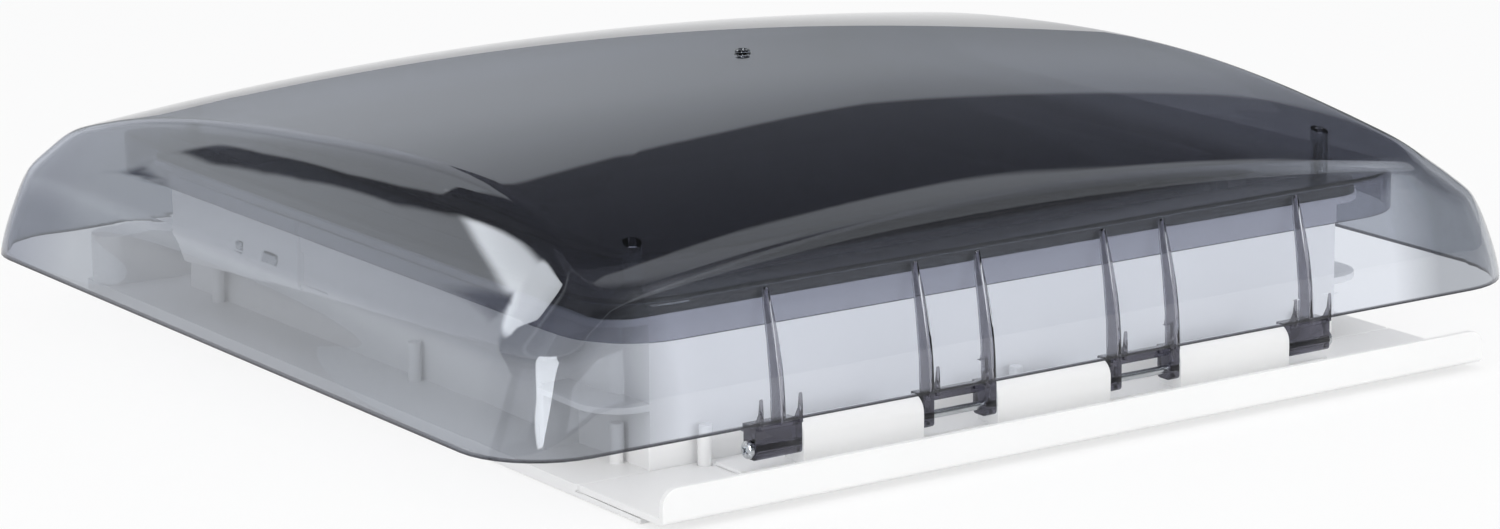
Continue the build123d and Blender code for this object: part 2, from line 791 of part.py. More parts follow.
def bail_cover():
    """Plate that snaps into the crossbar from below."""
    y = crossbar_half - crossbar_wall - fit_gap
    x = arm_inner - fit_gap
    body = block(-x, x, crossbar_y - y, crossbar_y + y, cover_low, cover_top)
    body -= pin_z(knob_shaft_radius + running_gap, cover_low - 1, cover_top + 1,
                  0, crossbar_y)
    return body


def slide_shoe(side):
    """Rounded shoe on the crossbar that runs in the guide rail."""
    x = side * shoe_x
    round_part = pin_x(shoe_radius, x - shoe_width / 2, x + shoe_width / 2, crossbar_y, shoe_z)
    seat = crossbar_top + 0.1
    body = round_part & block(x - shoe_width, x + shoe_width, crossbar_y - 20,
                              crossbar_y + 20, seat, shoe_z + 20)
    peg = small_round(shoe_peg, crossbar_top - crossbar_wall + 0.2, seat + 1, x, crossbar_y)
    return body + peg


def bail_pivot_pins():
    """Headed steel pins on which the bail arms turn."""
    y, z = bail_pivot_y, bail_pivot_z
    pin = pin_x(pivot_pin_radius, arm_inner - fit_gap - 0.5, channel_half, y, z)
    head_end = arm_inner - fit_gap
    head = pin_x(pivot_pin_head, head_end - pivot_pin_head_height, head_end, y, z)
    return both_sides(pin + head)


def tooth_half_angle(radius):
    """Half the angle of a pinion tooth at a radius, from the involute."""
    base = pinion_radius * math.cos(math.radians(pressure_angle))
    slope = math.acos(min(1.0, base / radius))
    pitch_slope = math.radians(pressure_angle)
    width = module * math.pi / 2 - backlash / 2
    return (width / (2 * pinion_radius) + math.tan(pitch_slope) - pitch_slope
            - (math.tan(slope) - slope))


def lock_pinion():
    """Small gear on the knob shaft that drives both bolts."""
    base = pinion_radius * math.cos(math.radians(pressure_angle))
    tip = pinion_radius + tooth_head * module
    root = pinion_radius - tooth_foot * module
    steps = 2
    radii = [base + (tip - base) * i / steps for i in range(steps + 1)]
    points = []
    for k in range(teeth):
        centre = 2 * math.pi * k / teeth
        flank = [(root, tooth_half_angle(base))] + [(r, tooth_half_angle(r)) for r in radii]
        for r, a in flank:
            points.append((r * math.cos(centre - a), r * math.sin(centre - a)))
        for r, a in reversed(flank):
            points.append((r * math.cos(centre + a), r * math.sin(centre + a)))
    face = make_face(Polyline(*points, close=True))
    gear = Pos(0, crossbar_y, bolt_low) * extrude(face, bolt_height)
    bore = knob_spigot / 2 + running_gap
    return gear - block(-bore, bore, crossbar_y - bore, crossbar_y + bore,
                        bolt_low - 1, bolt_low + bolt_height + 1)


def rack_teeth():
    """Teeth of one bolt, as an outline above the pitch line."""
    pitch = math.pi * module
    slope = math.tan(math.radians(pressure_angle))
    thick = pitch / 2 - backlash / 2
    head = thick / 2 - tooth_head * module * slope
    foot = thick / 2 + tooth_foot * module * slope
    low = pinion_radius - tooth_head * module
    high = pinion_radius + tooth_foot * module
    shapes = []
    for k in range(-3, 5):
        x = (k + 0.5) * pitch
        points = [(x - foot, high + 0.2), (x - foot, high), (x - head, low),
                  (x + head, low), (x + foot, high), (x + foot, high + 0.2)]
        shapes.append(make_face(Polyline(*points, close=True)))
    return shapes


def lock_bolt():
    """Left bolt: rack beside the pinion, shoulder and straight bar to the tip."""
    high = pinion_radius + tooth_foot * module
    rack = block(-rack_shoulder, rack_inner_end, high, high + bolt_rack_depth, 0, bolt_height)
    for tooth in rack_teeth():
        rack += extrude(tooth, bolt_height)
    shoulder = block(-rack_shoulder - shoulder_width, -rack_shoulder, -bolt_width / 2,
                     high + bolt_rack_depth, 0, bolt_height)
    bar = block(-bolt_tip, -rack_shoulder, -bolt_width / 2, bolt_width / 2, 0, bolt_height)
    ends = [e for e in bar.edges().filter_by(Axis.Z) if e.center().X < -bolt_tip + 1]
    bar = chamfer(ends, bolt_nose)
    return Pos(0, crossbar_y, bolt_low) * (rack + shoulder + bar)


def lock_knob():
    """Turning knob under the crossbar with a finger wing."""
    low = cover_low - fit_gap - knob_disc
    disc = Pos(0, crossbar_y, low) * extrude(Circle(knob_radius), knob_disc)
    disc = chamfer(disc.edges().group_by(Axis.Z)[0], knob_disc * 0.3)
    wing_face = SlotOverall(wing_length, wing_width)
    wing = Pos(0, crossbar_y, low - wing_height) * extrude(wing_face, wing_height + 1)
    shaft = pin_z(knob_shaft_radius, low + 1, bolt_low - 0.2, 0, crossbar_y)
    edge = knob_spigot / 2
    spigot = block(-edge, edge, crossbar_y - edge, crossbar_y + edge, bolt_low - 1,
                   bolt_low + bolt_height - 0.2)
    hole = small_round(knob_screw_radius + running_gap, bolt_low - 3,
                       bolt_low + bolt_height + 1, 0, crossbar_y)
    return disc + wing + shaft + spigot - hole


def knob_screw():
    """Screw that keeps the pinion on the knob."""
    top = bolt_low + bolt_height + 0.1
    body = small_round(knob_screw_radius, bolt_low - 2, top + 0.5, 0, crossbar_y)
    return body + small_round(knob_screw_head, top, top + 1.8, 0, crossbar_y)


def keeper():
    """Right-hand steel keeper in the lock housing, with two bent tabs."""
    x1 = channel_half - 0.2
    x0 = x1 - keeper_thickness
    far = crossbar_y + bolt_width
    low = tab_z - tab_height
    nose_low = bolt_low + bolt_height + 0.6
    body = block(x0, x1, keeper_near, far, low, nose_low + keeper_thickness)
    body += block(x0 - keeper_nose_reach, x1, far - keeper_nose_length, far,
                  nose_low, nose_low + keeper_thickness)
    proud = bulge_half + housing_extra + tab_proud
    for y, w in ((tab_one_y, tab_one_width), (tab_two_y, tab_two_width)):
        body += block(x0, proud, y - w / 2, y + w / 2,
                      tab_z - tab_height / 2, tab_z + tab_height / 2)
    return body


def left(solid):
    """Mirror image of a right-hand piece."""
    return mirror(solid, about=Plane.YZ)


nodes = {
    "roof_frame": roof_frame(),
    "rain_deflector": rain_deflector(),
    "hinge_strip": hinge_strip(),
    "hinge_rod": hinge_rod(),
    "hinge_pivot_screws": hinge_pivot_screws(),
    "hinge_strip_screws": hinge_strip_screws(),
    "pane_seal": pane_seal(),
    "bail_pivot_pins": bail_pivot_pins(),
    "keeper_right": keeper(),
    "keeper_left": left(keeper()),
    "outer_dome": outer_dome(),
    "inner_pane": inner_pane(),
    "pane_screws": pane_screws(),
    "guide_rail_right": guide_rail(1),
    "guide_rail_left": guide_rail(-1),
    "lifting_bail": bail(),
    "bail_cover": bail_cover(),
    "slide_shoe_right": slide_shoe(1),
    "slide_shoe_left": slide_shoe(-1),
    "lock_knob": lock_knob(),
    "lock_pinion": lock_pinion(),
    "knob_screw": knob_screw(),
    "lock_bolt_left": lock_bolt(),
    "lock_bolt_right": Pos(0, 2 * crossbar_y, 0) * Rot(0, 0, 180) * lock_bolt(),
}

os.makedirs("parts", exist_ok=True)
for name, solid in nodes.items():
    export_step(solid, f"parts/{name}.step")
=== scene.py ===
import math

import bmesh
import bpy
import numpy as np
from mathutils import Matrix, Vector
from mathutils.bvhtree import BVHTree


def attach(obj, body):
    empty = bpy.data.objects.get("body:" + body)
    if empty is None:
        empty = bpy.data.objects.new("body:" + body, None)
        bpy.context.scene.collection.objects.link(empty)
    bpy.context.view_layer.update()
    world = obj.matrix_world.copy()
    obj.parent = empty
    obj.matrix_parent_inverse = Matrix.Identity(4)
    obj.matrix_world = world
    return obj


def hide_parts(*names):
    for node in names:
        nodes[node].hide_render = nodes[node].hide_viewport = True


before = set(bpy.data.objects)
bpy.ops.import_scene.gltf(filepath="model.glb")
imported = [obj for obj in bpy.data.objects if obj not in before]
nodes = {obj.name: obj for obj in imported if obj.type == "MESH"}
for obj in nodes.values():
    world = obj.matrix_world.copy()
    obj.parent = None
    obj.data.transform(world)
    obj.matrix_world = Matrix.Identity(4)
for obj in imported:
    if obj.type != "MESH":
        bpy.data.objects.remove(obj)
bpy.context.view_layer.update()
scene = bpy.context.scene

# Camera: it stands at the photo's place, to the left of the hinge side and a little above the roof.
# The long lens and the small shift give the photo's framing of the whole hatch.
MM = 0.001
AZIMUTH, ELEVATION, ROLL = math.radians(34.118), math.radians(13.316), math.radians(-0.600)
EYE = Vector((-1322.53, -1968.72, 599.94)) * MM
forward = Vector((math.sin(AZIMUTH) * math.cos(ELEVATION),
                  math.cos(AZIMUTH) * math.cos(ELEVATION), -math.sin(ELEVATION)))
level = Vector((math.cos(AZIMUTH), -math.sin(AZIMUTH), 0.0))
upright = level.cross(forward)
right = math.cos(ROLL) * level + math.sin(ROLL) * upright
up = math.cos(ROLL) * upright - math.sin(ROLL) * level
camera = bpy.data.objects.new("camera", bpy.data.cameras.new("camera"))
scene.collection.objects.link(camera)
camera.matrix_world = Matrix((
    (right.x, up.x, -forward.x, EYE.x),
    (right.y, up.y, -forward.y, EYE.y),
    (right.z, up.z, -forward.z, EYE.z),
    (0, 0, 0, 1)))
camera.data.sensor_width = 36.0
camera.data.lens = 115.966
camera.data.shift_x = -0.00888
camera.data.shift_y = -0.01092
camera.data.clip_start = 0.1
camera.data.clip_end = 60.0
scene.camera = camera
scene.view_settings.view_transform = "Standard"


# Studio: pale walls, a dark gap above them, a grey ceiling, a tall strip lamp and a small window lamp.
# They stand in the world's glossy side, where the smoked skins mirror them; diffuse light is even.
# Bearings and elevations are in degrees, and bearings count from the way the camera looks.
def node(tree, kind, settings=None, *values, **inputs):
    """Adds a node with its settings, or just its operation, and fills its inputs in order or by name.

    A value is a number, a colour, a socket, or a node, which stands for its first output.
    """
    made = tree.nodes.new(kind)
    if isinstance(settings, str):
        settings = {"operation": settings}
    for key, value in (settings or {}).items():
        setattr(made, key, value)
    filled = dict(enumerate(values))
    for key, value in inputs.items():
        filled[int(key[1:]) if key[0] == "_" else key.replace("_", " ")] = value
    for name, value in filled.items():
        if isinstance(value, bpy.types.Node):
            value = value.outputs[0]
        if isinstance(value, bpy.types.NodeSocket):
            tree.links.new(value, made.inputs[name])
        else:
            made.inputs[name].default_value = value
    return made


MATHS = "ShaderNodeMath"
world = bpy.data.worlds.new("studio")
scene.world = world
world.use_nodes = True
sky = world.node_tree
sky.nodes.clear()
direction = node(sky, "ShaderNodeTexCoord").outputs["Generated"]
ahead, aside = [node(sky, "ShaderNodeVectorMath", "DOT_PRODUCT", direction, axis).outputs["Value"]
                for axis in ((math.sin(AZIMUTH), math.cos(AZIMUTH), 0), level)]
above = node(sky, "ShaderNodeSeparateXYZ", None, direction).outputs["Z"]
bearing = node(sky, MATHS, "DEGREES", node(sky, MATHS, "ARCTAN2", aside, ahead))
climb = node(sky, MATHS, "DEGREES", node(sky, MATHS, "ARCSINE", above))


def curve(along, points, top=90):
    """A value between -top and top that follows a curve of (degrees, value) pairs."""
    first, last = points[0][0], points[-1][0]
    made = node(sky, "ShaderNodeFloatCurve", _1=node(sky, "ShaderNodeMapRange", None, along, first, last))
    line = made.mapping.curves[0]
    while len(line.points) < len(points):
        line.points.new(0.5, 0.5)
    for point, (degrees, value) in zip(line.points, points):
        point.location = ((degrees - first) / (last - first), 0.5 + value / top / 2)
        point.handle_type = "VECTOR"
    made.mapping.update()
    return node(sky, "ShaderNodeMapRange", _0=made, _3=-top, _4=top)


def soft_edge(value, edge, soft):
    """0 under an edge and 1 over it, with a smooth step that reaches equally far to each side."""
    low, high = [node(sky, MATHS, side, edge, soft) for side in ("SUBTRACT", "ADD")]
    return node(sky, "ShaderNodeMapRange", {"interpolation_type": "SMOOTHSTEP"}, value, low, high)


def lamp_patch(left, right, low, high, soft, lean):
    """A soft-edged patch of sky between two bearings and two elevations, which leans as it climbs."""
    turned = node(sky, MATHS, "SUBTRACT", bearing, node(sky, MATHS, "MULTIPLY", climb, lean))
    spans = ((turned, left, right), (climb, low, high))
    across, tall = [node(sky, MATHS, "SUBTRACT", *[soft_edge(value, edge, soft) for edge in edges])
                    for value, *edges in spans]
    return node(sky, MATHS, "MULTIPLY", across, tall)


wall_edge = curve(bearing, (
    (-180, 30), (-110, 30), (-70, 38.4), (-50, 38.6), (-44, 41), (-20, 41), (-14, 34), (-10, 26), (-5, 29),
    (0, 24), (3, 20), (12, 20), (20, 27), (35, 30), (60, 24), (112, 20), (180, 30)))
wall_light = curve(bearing, (
    (-180, 0.2), (-125, 0.15), (-116, 0.3), (-112, 1.8), (-50, 1.8), (-44, 1.5), (-28, 1.25), (-24, 0.9),
    (-20, 1.0), (-8, 0.75), (3, 0.45), (12, 0.42), (30, 0.42), (60, 0.3), (85, 0.2), (110, 0.3),
    (180, 0.2)), top=2)
walls = node(sky, MATHS, "SUBTRACT", 1.0, soft_edge(climb, wall_edge, 0.7))
# Towards the floor the walls fade to half their light.
paling = node(sky, MATHS, "MULTIPLY_ADD", soft_edge(climb, 6, 8), 0.5, 0.5)
# A dark doorway stands in the wall on the left; the long dark streak on the skirt is its mirror image.
door_left = curve(climb, (
    (0, -39.5), (23.5, -39.5), (24.8, -42.5), (27.1, -45), (29.3, -46.5), (32.5, -47.3), (35, -47.9),
    (37.5, -46.8), (38.3, -46.3), (38.9, -45.7), (39.8, -45.1), (41.4, -43.9), (42.7, -43.1),
    (45, -42.5), (90, -42.5)))
door_right = curve(climb, (
    (0, -39.5), (23.5, -39.5), (24.8, -39.5), (27.1, -41.5), (29.3, -42.5), (32.5, -44.1), (36, -43.9),
    (38.6, -42.5), (41, -33.5), (43, -7.5), (90, -7.5)))
doorway = node(sky, MATHS, "SUBTRACT", *[soft_edge(bearing, edge, 0.5) for edge in (door_left, door_right)])
beside_door = node(sky, MATHS, "SUBTRACT", 1.0, doorway)
# The ceiling ends in an unlit opening right above the hatch, which keeps the crown's near corner dark.
ceiling_edge = curve(bearing, (
    (-180, 60), (9, 56), (10.5, 49.5), (12, 48), (14, 44.3), (16, 41), (21, 39.6), (25, 37.2),
    (60, 36), (96, 35), (99, 60), (180, 60)))
opening_edge = curve(bearing, ((-180, 62), (-60, 60), (-20, 56.5), (38, 56.5), (48, 62), (180, 62)))
ceiling = soft_edge(climb, ceiling_edge, 1.2)
before_opening = node(sky, MATHS, "SUBTRACT", 1.0, soft_edge(climb, opening_edge, 1.5))
strip_lamp = lamp_patch(left=-215, right=-176, low=2, high=63, soft=1.2, lean=0.75)
window_lamp = lamp_patch(left=-28.2, right=-21.3, low=39.2, high=54, soft=0.5, lean=-0.5)
light = 0.06    # what the dark parts of the room give
for power, shares in ((wall_light, (walls, paling, beside_door)), (1.0, (ceiling, before_opening)),
                      (12.0, (strip_lamp,)), (7.0, (window_lamp, beside_door))):
    for share in shares:
        power = node(sky, MATHS, "MULTIPLY", power, share)
    light = node(sky, MATHS, "ADD", light, power)


def ray_share(tree, *kinds):
    """1 for rays of the given kinds and 0 for all others."""
    path = node(tree, "ShaderNodeLightPath")
    share = path.outputs[f"Is {kinds[0]} Ray"]
    for kind in kinds[1:]:
        share = node(tree, MATHS, "MAXIMUM", share, path.outputs[f"Is {kind} Ray"])
    return share


mirrored = node(sky, "ShaderNodeBackground", Color=(0.935, 0.985, 1.05, 1), Strength=light)
plain = node(sky, "ShaderNodeBackground", Color=(0.985, 0.99, 1.0, 1), Strength=0.72)
white = node(sky, "ShaderNodeBackground", Color=(1, 1, 1, 1), Strength=1.0)
indirect = node(sky, "ShaderNodeMixShader", None, ray_share(sky, "Glossy"), plain, mirrored)
whole_sky = node(sky, "ShaderNodeMixShader", None, ray_share(sky, "Camera", "Transmission"), indirect,
                 white)
node(sky, "ShaderNodeOutputWorld", Surface=whole_sky)


def soft_box(name, place, target, width, height, power):
    """A rectangular lamp aimed at a point, left out of reflections; metres and watts."""
    data = bpy.data.lights.new(name, "AREA")
    data.shape = "RECTANGLE"
    data.size, data.size_y, data.energy = width, height, power
    lamp = bpy.data.objects.new(name, data)
    scene.collection.objects.link(lamp)
    lamp.location = place
    lamp.rotation_mode = "QUATERNION"
    lamp.rotation_quaternion = (Vector(target) - Vector(place)).to_track_quat("-Z", "Y")
    lamp.visible_glossy = False


soft_box("overhead_box", (0.2, 0.3, 2.6), (0, 0, 0), 2.4, 2.4, 19)
soft_box("left_box", (-2.4, -0.9, 1.1), (0, 0, 0.05), 1.4, 1.4, 12)
soft_box("front_box", (0.3, -2.6, 0.5), (0, 0, 0.06), 1.6, 0.8, 16)


# Floor: studio paper, matt and nearly white. It also glows, so that the camera sees it as a plain white
# and the smoked skins mirror some of it. The glow ends at the edge of the hatch's opening.
def linear(code):
    """An sRGB hex code as a linear colour."""
    values = [int(code[i:i + 2], 16) / 255 for i in (1, 3, 5)]
    return [v / 12.92 if v <= 0.04045 else ((v + 0.055) / 1.055) ** 2.4 for v in values] + [1.0]


def empty_material(name):
    """A material with an empty node tree and its output."""
    made = bpy.data.materials.new(name)
    made.use_nodes = True
    made.node_tree.nodes.clear()
    return made, made.node_tree, made.node_tree.nodes.new("ShaderNodeOutputMaterial")


def square_reach(tree, place):
    """How far a point stands from the middle, counted along the farther of the two level axes."""
    axes = node(tree, "ShaderNodeSeparateXYZ", None,
                node(tree, "ShaderNodeVectorMath", "ABSOLUTE", place.outputs["Object"]))
    return node(tree, MATHS, "MAXIMUM", axes.outputs["X"], axes.outputs["Y"])


FLOOR_HALF = 30.0    # m
FLOOR_DROP = 0.4     # mm, so that the flange's underside doesn't flicker in the paper
OPENING_HALF, OPENING_EDGE = 200.0, 4.0
GLOW, MIRRORED_GLOW = 0.7, 0.35
corners = [(x * FLOOR_HALF, y * FLOOR_HALF, 0) for x, y in ((-1, -1), (1, -1), (1, 1), (-1, 1))]
floor_mesh = bpy.data.meshes.new("floor")
floor_mesh.from_pydata(corners, [], [(0, 1, 2, 3)])
floor = bpy.data.objects.new("floor", floor_mesh)
floor.location.z = -FLOOR_DROP * MM
scene.collection.objects.link(floor)
paper, tree, out = empty_material("studio_paper")
matt = node(tree, "ShaderNodeBsdfDiffuse", Color=linear("#F4F4F4"))
glow = node(tree, "ShaderNodeEmission", Color=(1, 1, 1, 1), Strength=1.0)
in_mirrors = node(tree, MATHS, "MULTIPLY", ray_share(tree, "Glossy"), MIRRORED_GLOW)
seen = node(tree, MATHS, "MAXIMUM", ray_share(tree, "Camera", "Transmission"), in_mirrors)
reach = square_reach(tree, node(tree, "ShaderNodeTexCoord"))
outside = node(tree, "ShaderNodeMapRange", None, reach, OPENING_HALF * MM,
               (OPENING_HALF + OPENING_EDGE) * MM, 0.0, GLOW)
share = node(tree, MATHS, "MULTIPLY", seen, outside)
mixed = node(tree, "ShaderNodeMixShader", None, share, matt, glow)
tree.links.new(mixed.outputs[0], out.inputs["Surface"])
floor_mesh.materials.append(paper)


# Roof frame, rain deflector and hinge strip: three injection mouldings of white ABS, bonded and screwed to
# the roof. The tool leaves soft edges, a satin skin and the faint grain of spark erosion.
# That grain is really finer than 0.1 mm, and is drawn 0.7 mm wide so that it shows.
def polymer(name, dark, pale, gloss, drift, grain, relief, **optics):
    """A plastic or rubber: one noise drifts its colour and gloss, another gives the skin its grain.

    A noise is (size in mm, detail), gloss is the roughness from and to, and relief is (strength, mm).
    """
    made, tree, out = empty_material(name)
    place = node(tree, "ShaderNodeTexCoord")
    clouds, grit = [node(tree, "ShaderNodeTexNoise", Vector=place.outputs["Object"],
                         Scale=1 / (size * MM), Detail=detail) for size, detail in (drift, grain)]
    shade = node(tree, "ShaderNodeMix", {"data_type": "RGBA"}, _0=clouds, _6=linear(dark), _7=linear(pale))
    rough = node(tree, "ShaderNodeMapRange", _0=clouds, _3=gloss[0], _4=gloss[1])
    bump = node(tree, "ShaderNodeBump", Height=grit, Strength=relief[0], Distance=relief[1] * MM)
    skin = node(tree, "ShaderNodeBsdfPrincipled", Base_Color=shade.outputs[2], Roughness=rough,
                Normal=bump, **optics)
    tree.links.new(skin.outputs[0], out.inputs["Surface"])
    return made


def apply_modifiers(made):
    """Bakes an object's modifiers into its mesh."""
    graph = bpy.context.evaluated_depsgraph_get()
    mesh = bpy.data.meshes.new_from_object(made.evaluated_get(graph))
    made.modifiers.clear()
    made.data = mesh


def softened(name, radius, material, body):
    """A moulding after a CAD node: its flats joined again, its edges rounded as a tool leaves them."""
    mesh = nodes[name].data.copy()
    made = bpy.data.objects.new(name + "_moulding", mesh)
    scene.collection.objects.link(made)
    mesh.materials.clear()
    mesh.materials.append(material)
    work = bmesh.new()
    work.from_mesh(mesh)
    bmesh.ops.remove_doubles(work, verts=work.verts, dist=2e-6)
    bmesh.ops.dissolve_limit(work, angle_limit=math.radians(0.5), verts=work.verts, edges=work.edges)
    for face in work.faces:
        face.smooth = True
        face.material_index = 0
    work.to_mesh(mesh)
    work.free()
    edge = made.modifiers.new("edge", "BEVEL")
    edge.width = radius * MM
    edge.segments = 2
    edge.limit_method = "ANGLE"
    edge.angle_limit = math.radians(35)
    edge.use_clamp_overlap = False
    even = made.modifiers.new("even_flats", "WEIGHTED_NORMAL")
    even.keep_sharp = False
    apply_modifiers(made)
    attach(made, body)
    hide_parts(name)


abs_white = polymer("white_abs_moulded", "#ECECEC", "#F3F3F2", gloss=(0.33, 0.43), drift=(111.1, 3.0),
                    grain=(0.7143, 2.0), relief=(0.04, 0.1), IOR=1.53)
softened("roof_frame", 0.45, abs_white, "frame")
softened("rain_deflector", 0.35, abs_white, "frame")
softened("hinge_strip", 0.35, abs_white, "frame")


# Pane seal: an extruded EPDM rubber strip pressed over the top of the upstand, with a rounded crest.
# Rubber gives the eye a near-black matt skin, with a dusty bloom in patches of a fingertip's width.
def ring(half_x, y0, y1, corner, bow, along, turn):
    """A rounded rectangle with bowed sides, as points round it in a fixed order."""
    half_x, y0, y1, corner, bow = np.broadcast_arrays(half_x, y0, y1, corner, bow)
    columns = []
    quarter = np.linspace(0, math.pi / 2, turn + 1)
    for sx, sy in ((1, 1), (-1, 1), (-1, -1), (1, -1)):
        cx = sx * (half_x - corner)
        cy = np.where(sy > 0, y1 - corner, y0 + corner)
        for angle in quarter if sx * sy > 0 else quarter[::-1]:
            columns.append((cx + sx * corner * math.cos(angle), cy + sy * corner * math.sin(angle)))
    points = np.array(columns)
    full = []
    for i, here in enumerate(points):
        step = along if i % (turn + 1) == turn else 1
        there = points[(i + 1) % len(points)]
        full += [here + (there - here) * k / step for k in range(step)]
    full = np.array(full)
    middle, reach = (y0 + y1) / 2, (y1 - y0) / 2
    full[:, 0] *= 1 - bow / half_x * ((full[:, 1] - middle) / reach) ** 2
    return full


def grid_mesh(name, rings, cap=None, loop=False):
    """Joins closed rings of points into a smooth mesh, with an optional closing point or a closed loop."""
    count = len(rings[0])
    points = [tuple(p) for r in rings for p in r]
    faces = []
    for j in range(len(rings) - (0 if loop else 1)):
        here, there = j * count, (j + 1) % len(rings) * count
        for i in range(count):
            k = (i + 1) % count
            faces.append((here + i, here + k, there + k, there + i))
    if cap is not None:
        points.append(tuple(cap))
        last = (len(rings) - 1) * count
        faces += [(last + i, last + (i + 1) % count, len(points) - 1) for i in range(count)]
    mesh = bpy.data.meshes.new(name)
    mesh.from_pydata([tuple(c * MM for c in p) for p in points], [], faces)
    work = bmesh.new()
    work.from_mesh(mesh)
    bmesh.ops.remove_doubles(work, verts=work.verts, dist=1e-6)
    bmesh.ops.recalc_face_normals(work, faces=work.faces)
    for face in work.faces:
        face.smooth = True
    work.to_mesh(mesh)
    work.free()
    made = bpy.data.objects.new(name, mesh)
    scene.collection.objects.link(made)
    return made


rubber = polymer("epdm_rubber_extruded", "#151617", "#222427", gloss=(0.55, 0.75), drift=(16.67, 4.0),
                 grain=(16.67, 4.0), relief=(0.05, 0.2), IOR=1.50)
SEAL_X, SEAL_Y, SEAL_LOW, SEAL_CORNER = 221.0, 218.6, 77.0, 17.0
crest = [(0, 0), (0, 3.0), (0.5, 3.9), (0.5, 5.5), (0.9, 7.9), (1.9, 9.8), (3.1, 10.7), (4.4, 10.7),
         (5.6, 9.8), (6.6, 7.9), (7.0, 5.5), (7.0, 3.9), (7.5, 3.0), (7.5, 0)]    # inwards, upwards
rows = []
for inset, rise in crest:
    at = ring(SEAL_X - inset, inset - SEAL_Y, SEAL_Y - inset, SEAL_CORNER - inset, 0.0, along=8, turn=8)
    rows.append(np.c_[at, np.full(len(at), SEAL_LOW + rise)])
seal = grid_mesh("pane_seal_profile", rows, loop=True)
seal.data.materials.append(rubber)
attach(seal, "frame")
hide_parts("pane_seal")

# Steel parts: hinge rod and pivot pins of drawn wire, keepers stamped from sheet, all bright zinc plated.
# Plating gives the eye a cool silver with slightly uneven gloss and drawn lines along the rod. Real lines
# are finer than 0.1 mm, and are drawn 1.1 mm wide so that they show.
LINE_LENGTH, LINE_WIDTH, TONE_SIZE = 25.0, 1.1111, 8.3333
steel, tree, out = empty_material("zinc_plated_steel")
place = node(tree, "ShaderNodeTexCoord")
long = node(tree, "ShaderNodeMapping", Vector=place.outputs["Object"],
            Scale=[1 / (size * MM) for size in (LINE_LENGTH, LINE_WIDTH, LINE_WIDTH)])
lines = node(tree, "ShaderNodeTexNoise", Vector=long, Scale=1.0, Detail=2.0)
tone = node(tree, "ShaderNodeTexNoise", Vector=place.outputs["Object"], Scale=1 / (TONE_SIZE * MM))
shade = node(tree, "ShaderNodeMix", {"data_type": "RGBA"}, _0=tone, _6=linear("#B9BCC0"),
             _7=linear("#D5D7D9"))
rough = node(tree, "ShaderNodeMapRange", _0=lines, _3=0.18, _4=0.34)
bump = node(tree, "ShaderNodeBump", Height=lines, Strength=0.10, Distance=0.05 * MM)
skin = node(tree, "ShaderNodeBsdfPrincipled", Base_Color=shade.outputs[2], Roughness=rough, Metallic=1.0,
            Normal=bump)
tree.links.new(skin.outputs[0], out.inputs["Surface"])
for name, radius in (("hinge_rod", 0.3), ("bail_pivot_pins", 0.3), ("keeper_left", 0.2),
                     ("keeper_right", 0.2)):
    softened(name, radius, steel, "frame")

# Lifting bail and its snap-in cover: mouldings of mid-grey ABS that swing between frame and pane.
# They have the same satin skin as the frame, in grey.
abs_grey = polymer("grey_abs_moulded", "#83878B", "#92969A", gloss=(0.38, 0.48), drift=(71.43, 3.0),
                   grain=(0.7143, 2.0), relief=(0.12, 0.1), IOR=1.53)
for name in ("lifting_bail", "bail_cover"):
    softened(name, 0.4, abs_grey, "bail")

# Guide rails and turning knob: glass-filled polyamide, moulded nearly black. The short fibres show as a
# mottled, slightly rough skin; they are really hair-thin, and are drawn 1.4 mm wide so that they show.
polyamide = polymer("glass_filled_polyamide", "#1D1F21", "#303336", gloss=(0.38, 0.56), drift=(1.4286, 3.0),
                    grain=(1.4286, 3.0), relief=(0.20, 0.1), IOR=1.53)
for name in ("guide_rail_left", "guide_rail_right"):
    softened(name, 0.5, polyamide, "lid")
softened("lock_knob", 0.6, polyamide, "knob")

# Slide shoes, lock pinion and lock bolts: acetal, moulded in its natural milky white.
# It is waxy to the eye: smooth, so without relief, a little translucent, with a soft highlight.
acetal = polymer("natural_acetal_moulded", "#DEDDD6", "#E8E7E1", gloss=(0.22, 0.32), drift=(20, 2.0),
                 grain=(20, 2.0), relief=(0.0, 0.1), IOR=1.48, Subsurface_Weight=0.15,
                 Subsurface_Radius=(2 * MM, 2 * MM, 1.8 * MM), Subsurface_Scale=1.0)
for name, body in (("slide_shoe_left", "bail"), ("slide_shoe_right", "bail"), ("lock_pinion", "knob"),
                   ("lock_bolt_left", "bolt_left"), ("lock_bolt_right", "bolt_right")):
    softened(name, 0.25, acetal, body)


# Inner pane: a sheet of PMMA in a blue-grey smoke tint, drawn over a mould into an upturned tray.
# The eye gets a mirror-smooth skin, a cool see-through grey and faint flow waves a hand's length apart.
def smoked(name, tint, lit_tint):
    """Smoked acrylic: a tint for what the eye sees through it, and a paler one for the light it lets in."""
    made, tree, out = empty_material(name)
    place = node(tree, "ShaderNodeTexCoord")
    waves = node(tree, "ShaderNodeTexNoise", Vector=place.outputs["Object"], Scale=1 / (166.67 * MM),
                 Detail=1.0)
    bump = node(tree, "ShaderNodeBump", Height=waves, Strength=0.1, Distance=1.2 * MM)
    sheet = node(tree, "ShaderNodeBsdfPrincipled", Base_Color=linear(tint), Roughness=0.01, IOR=1.49,
                 Transmission_Weight=1.0, Normal=bump)
    clear = node(tree, "ShaderNodeBsdfTransparent", Color=linear(lit_tint))
    mixed = node(tree, "ShaderNodeMixShader", None, ray_share(tree, "Shadow", "Diffuse"), sheet, clear)
    tree.links.new(mixed.outputs[0], out.inputs["Surface"])
    return made, tree, place, sheet, clear


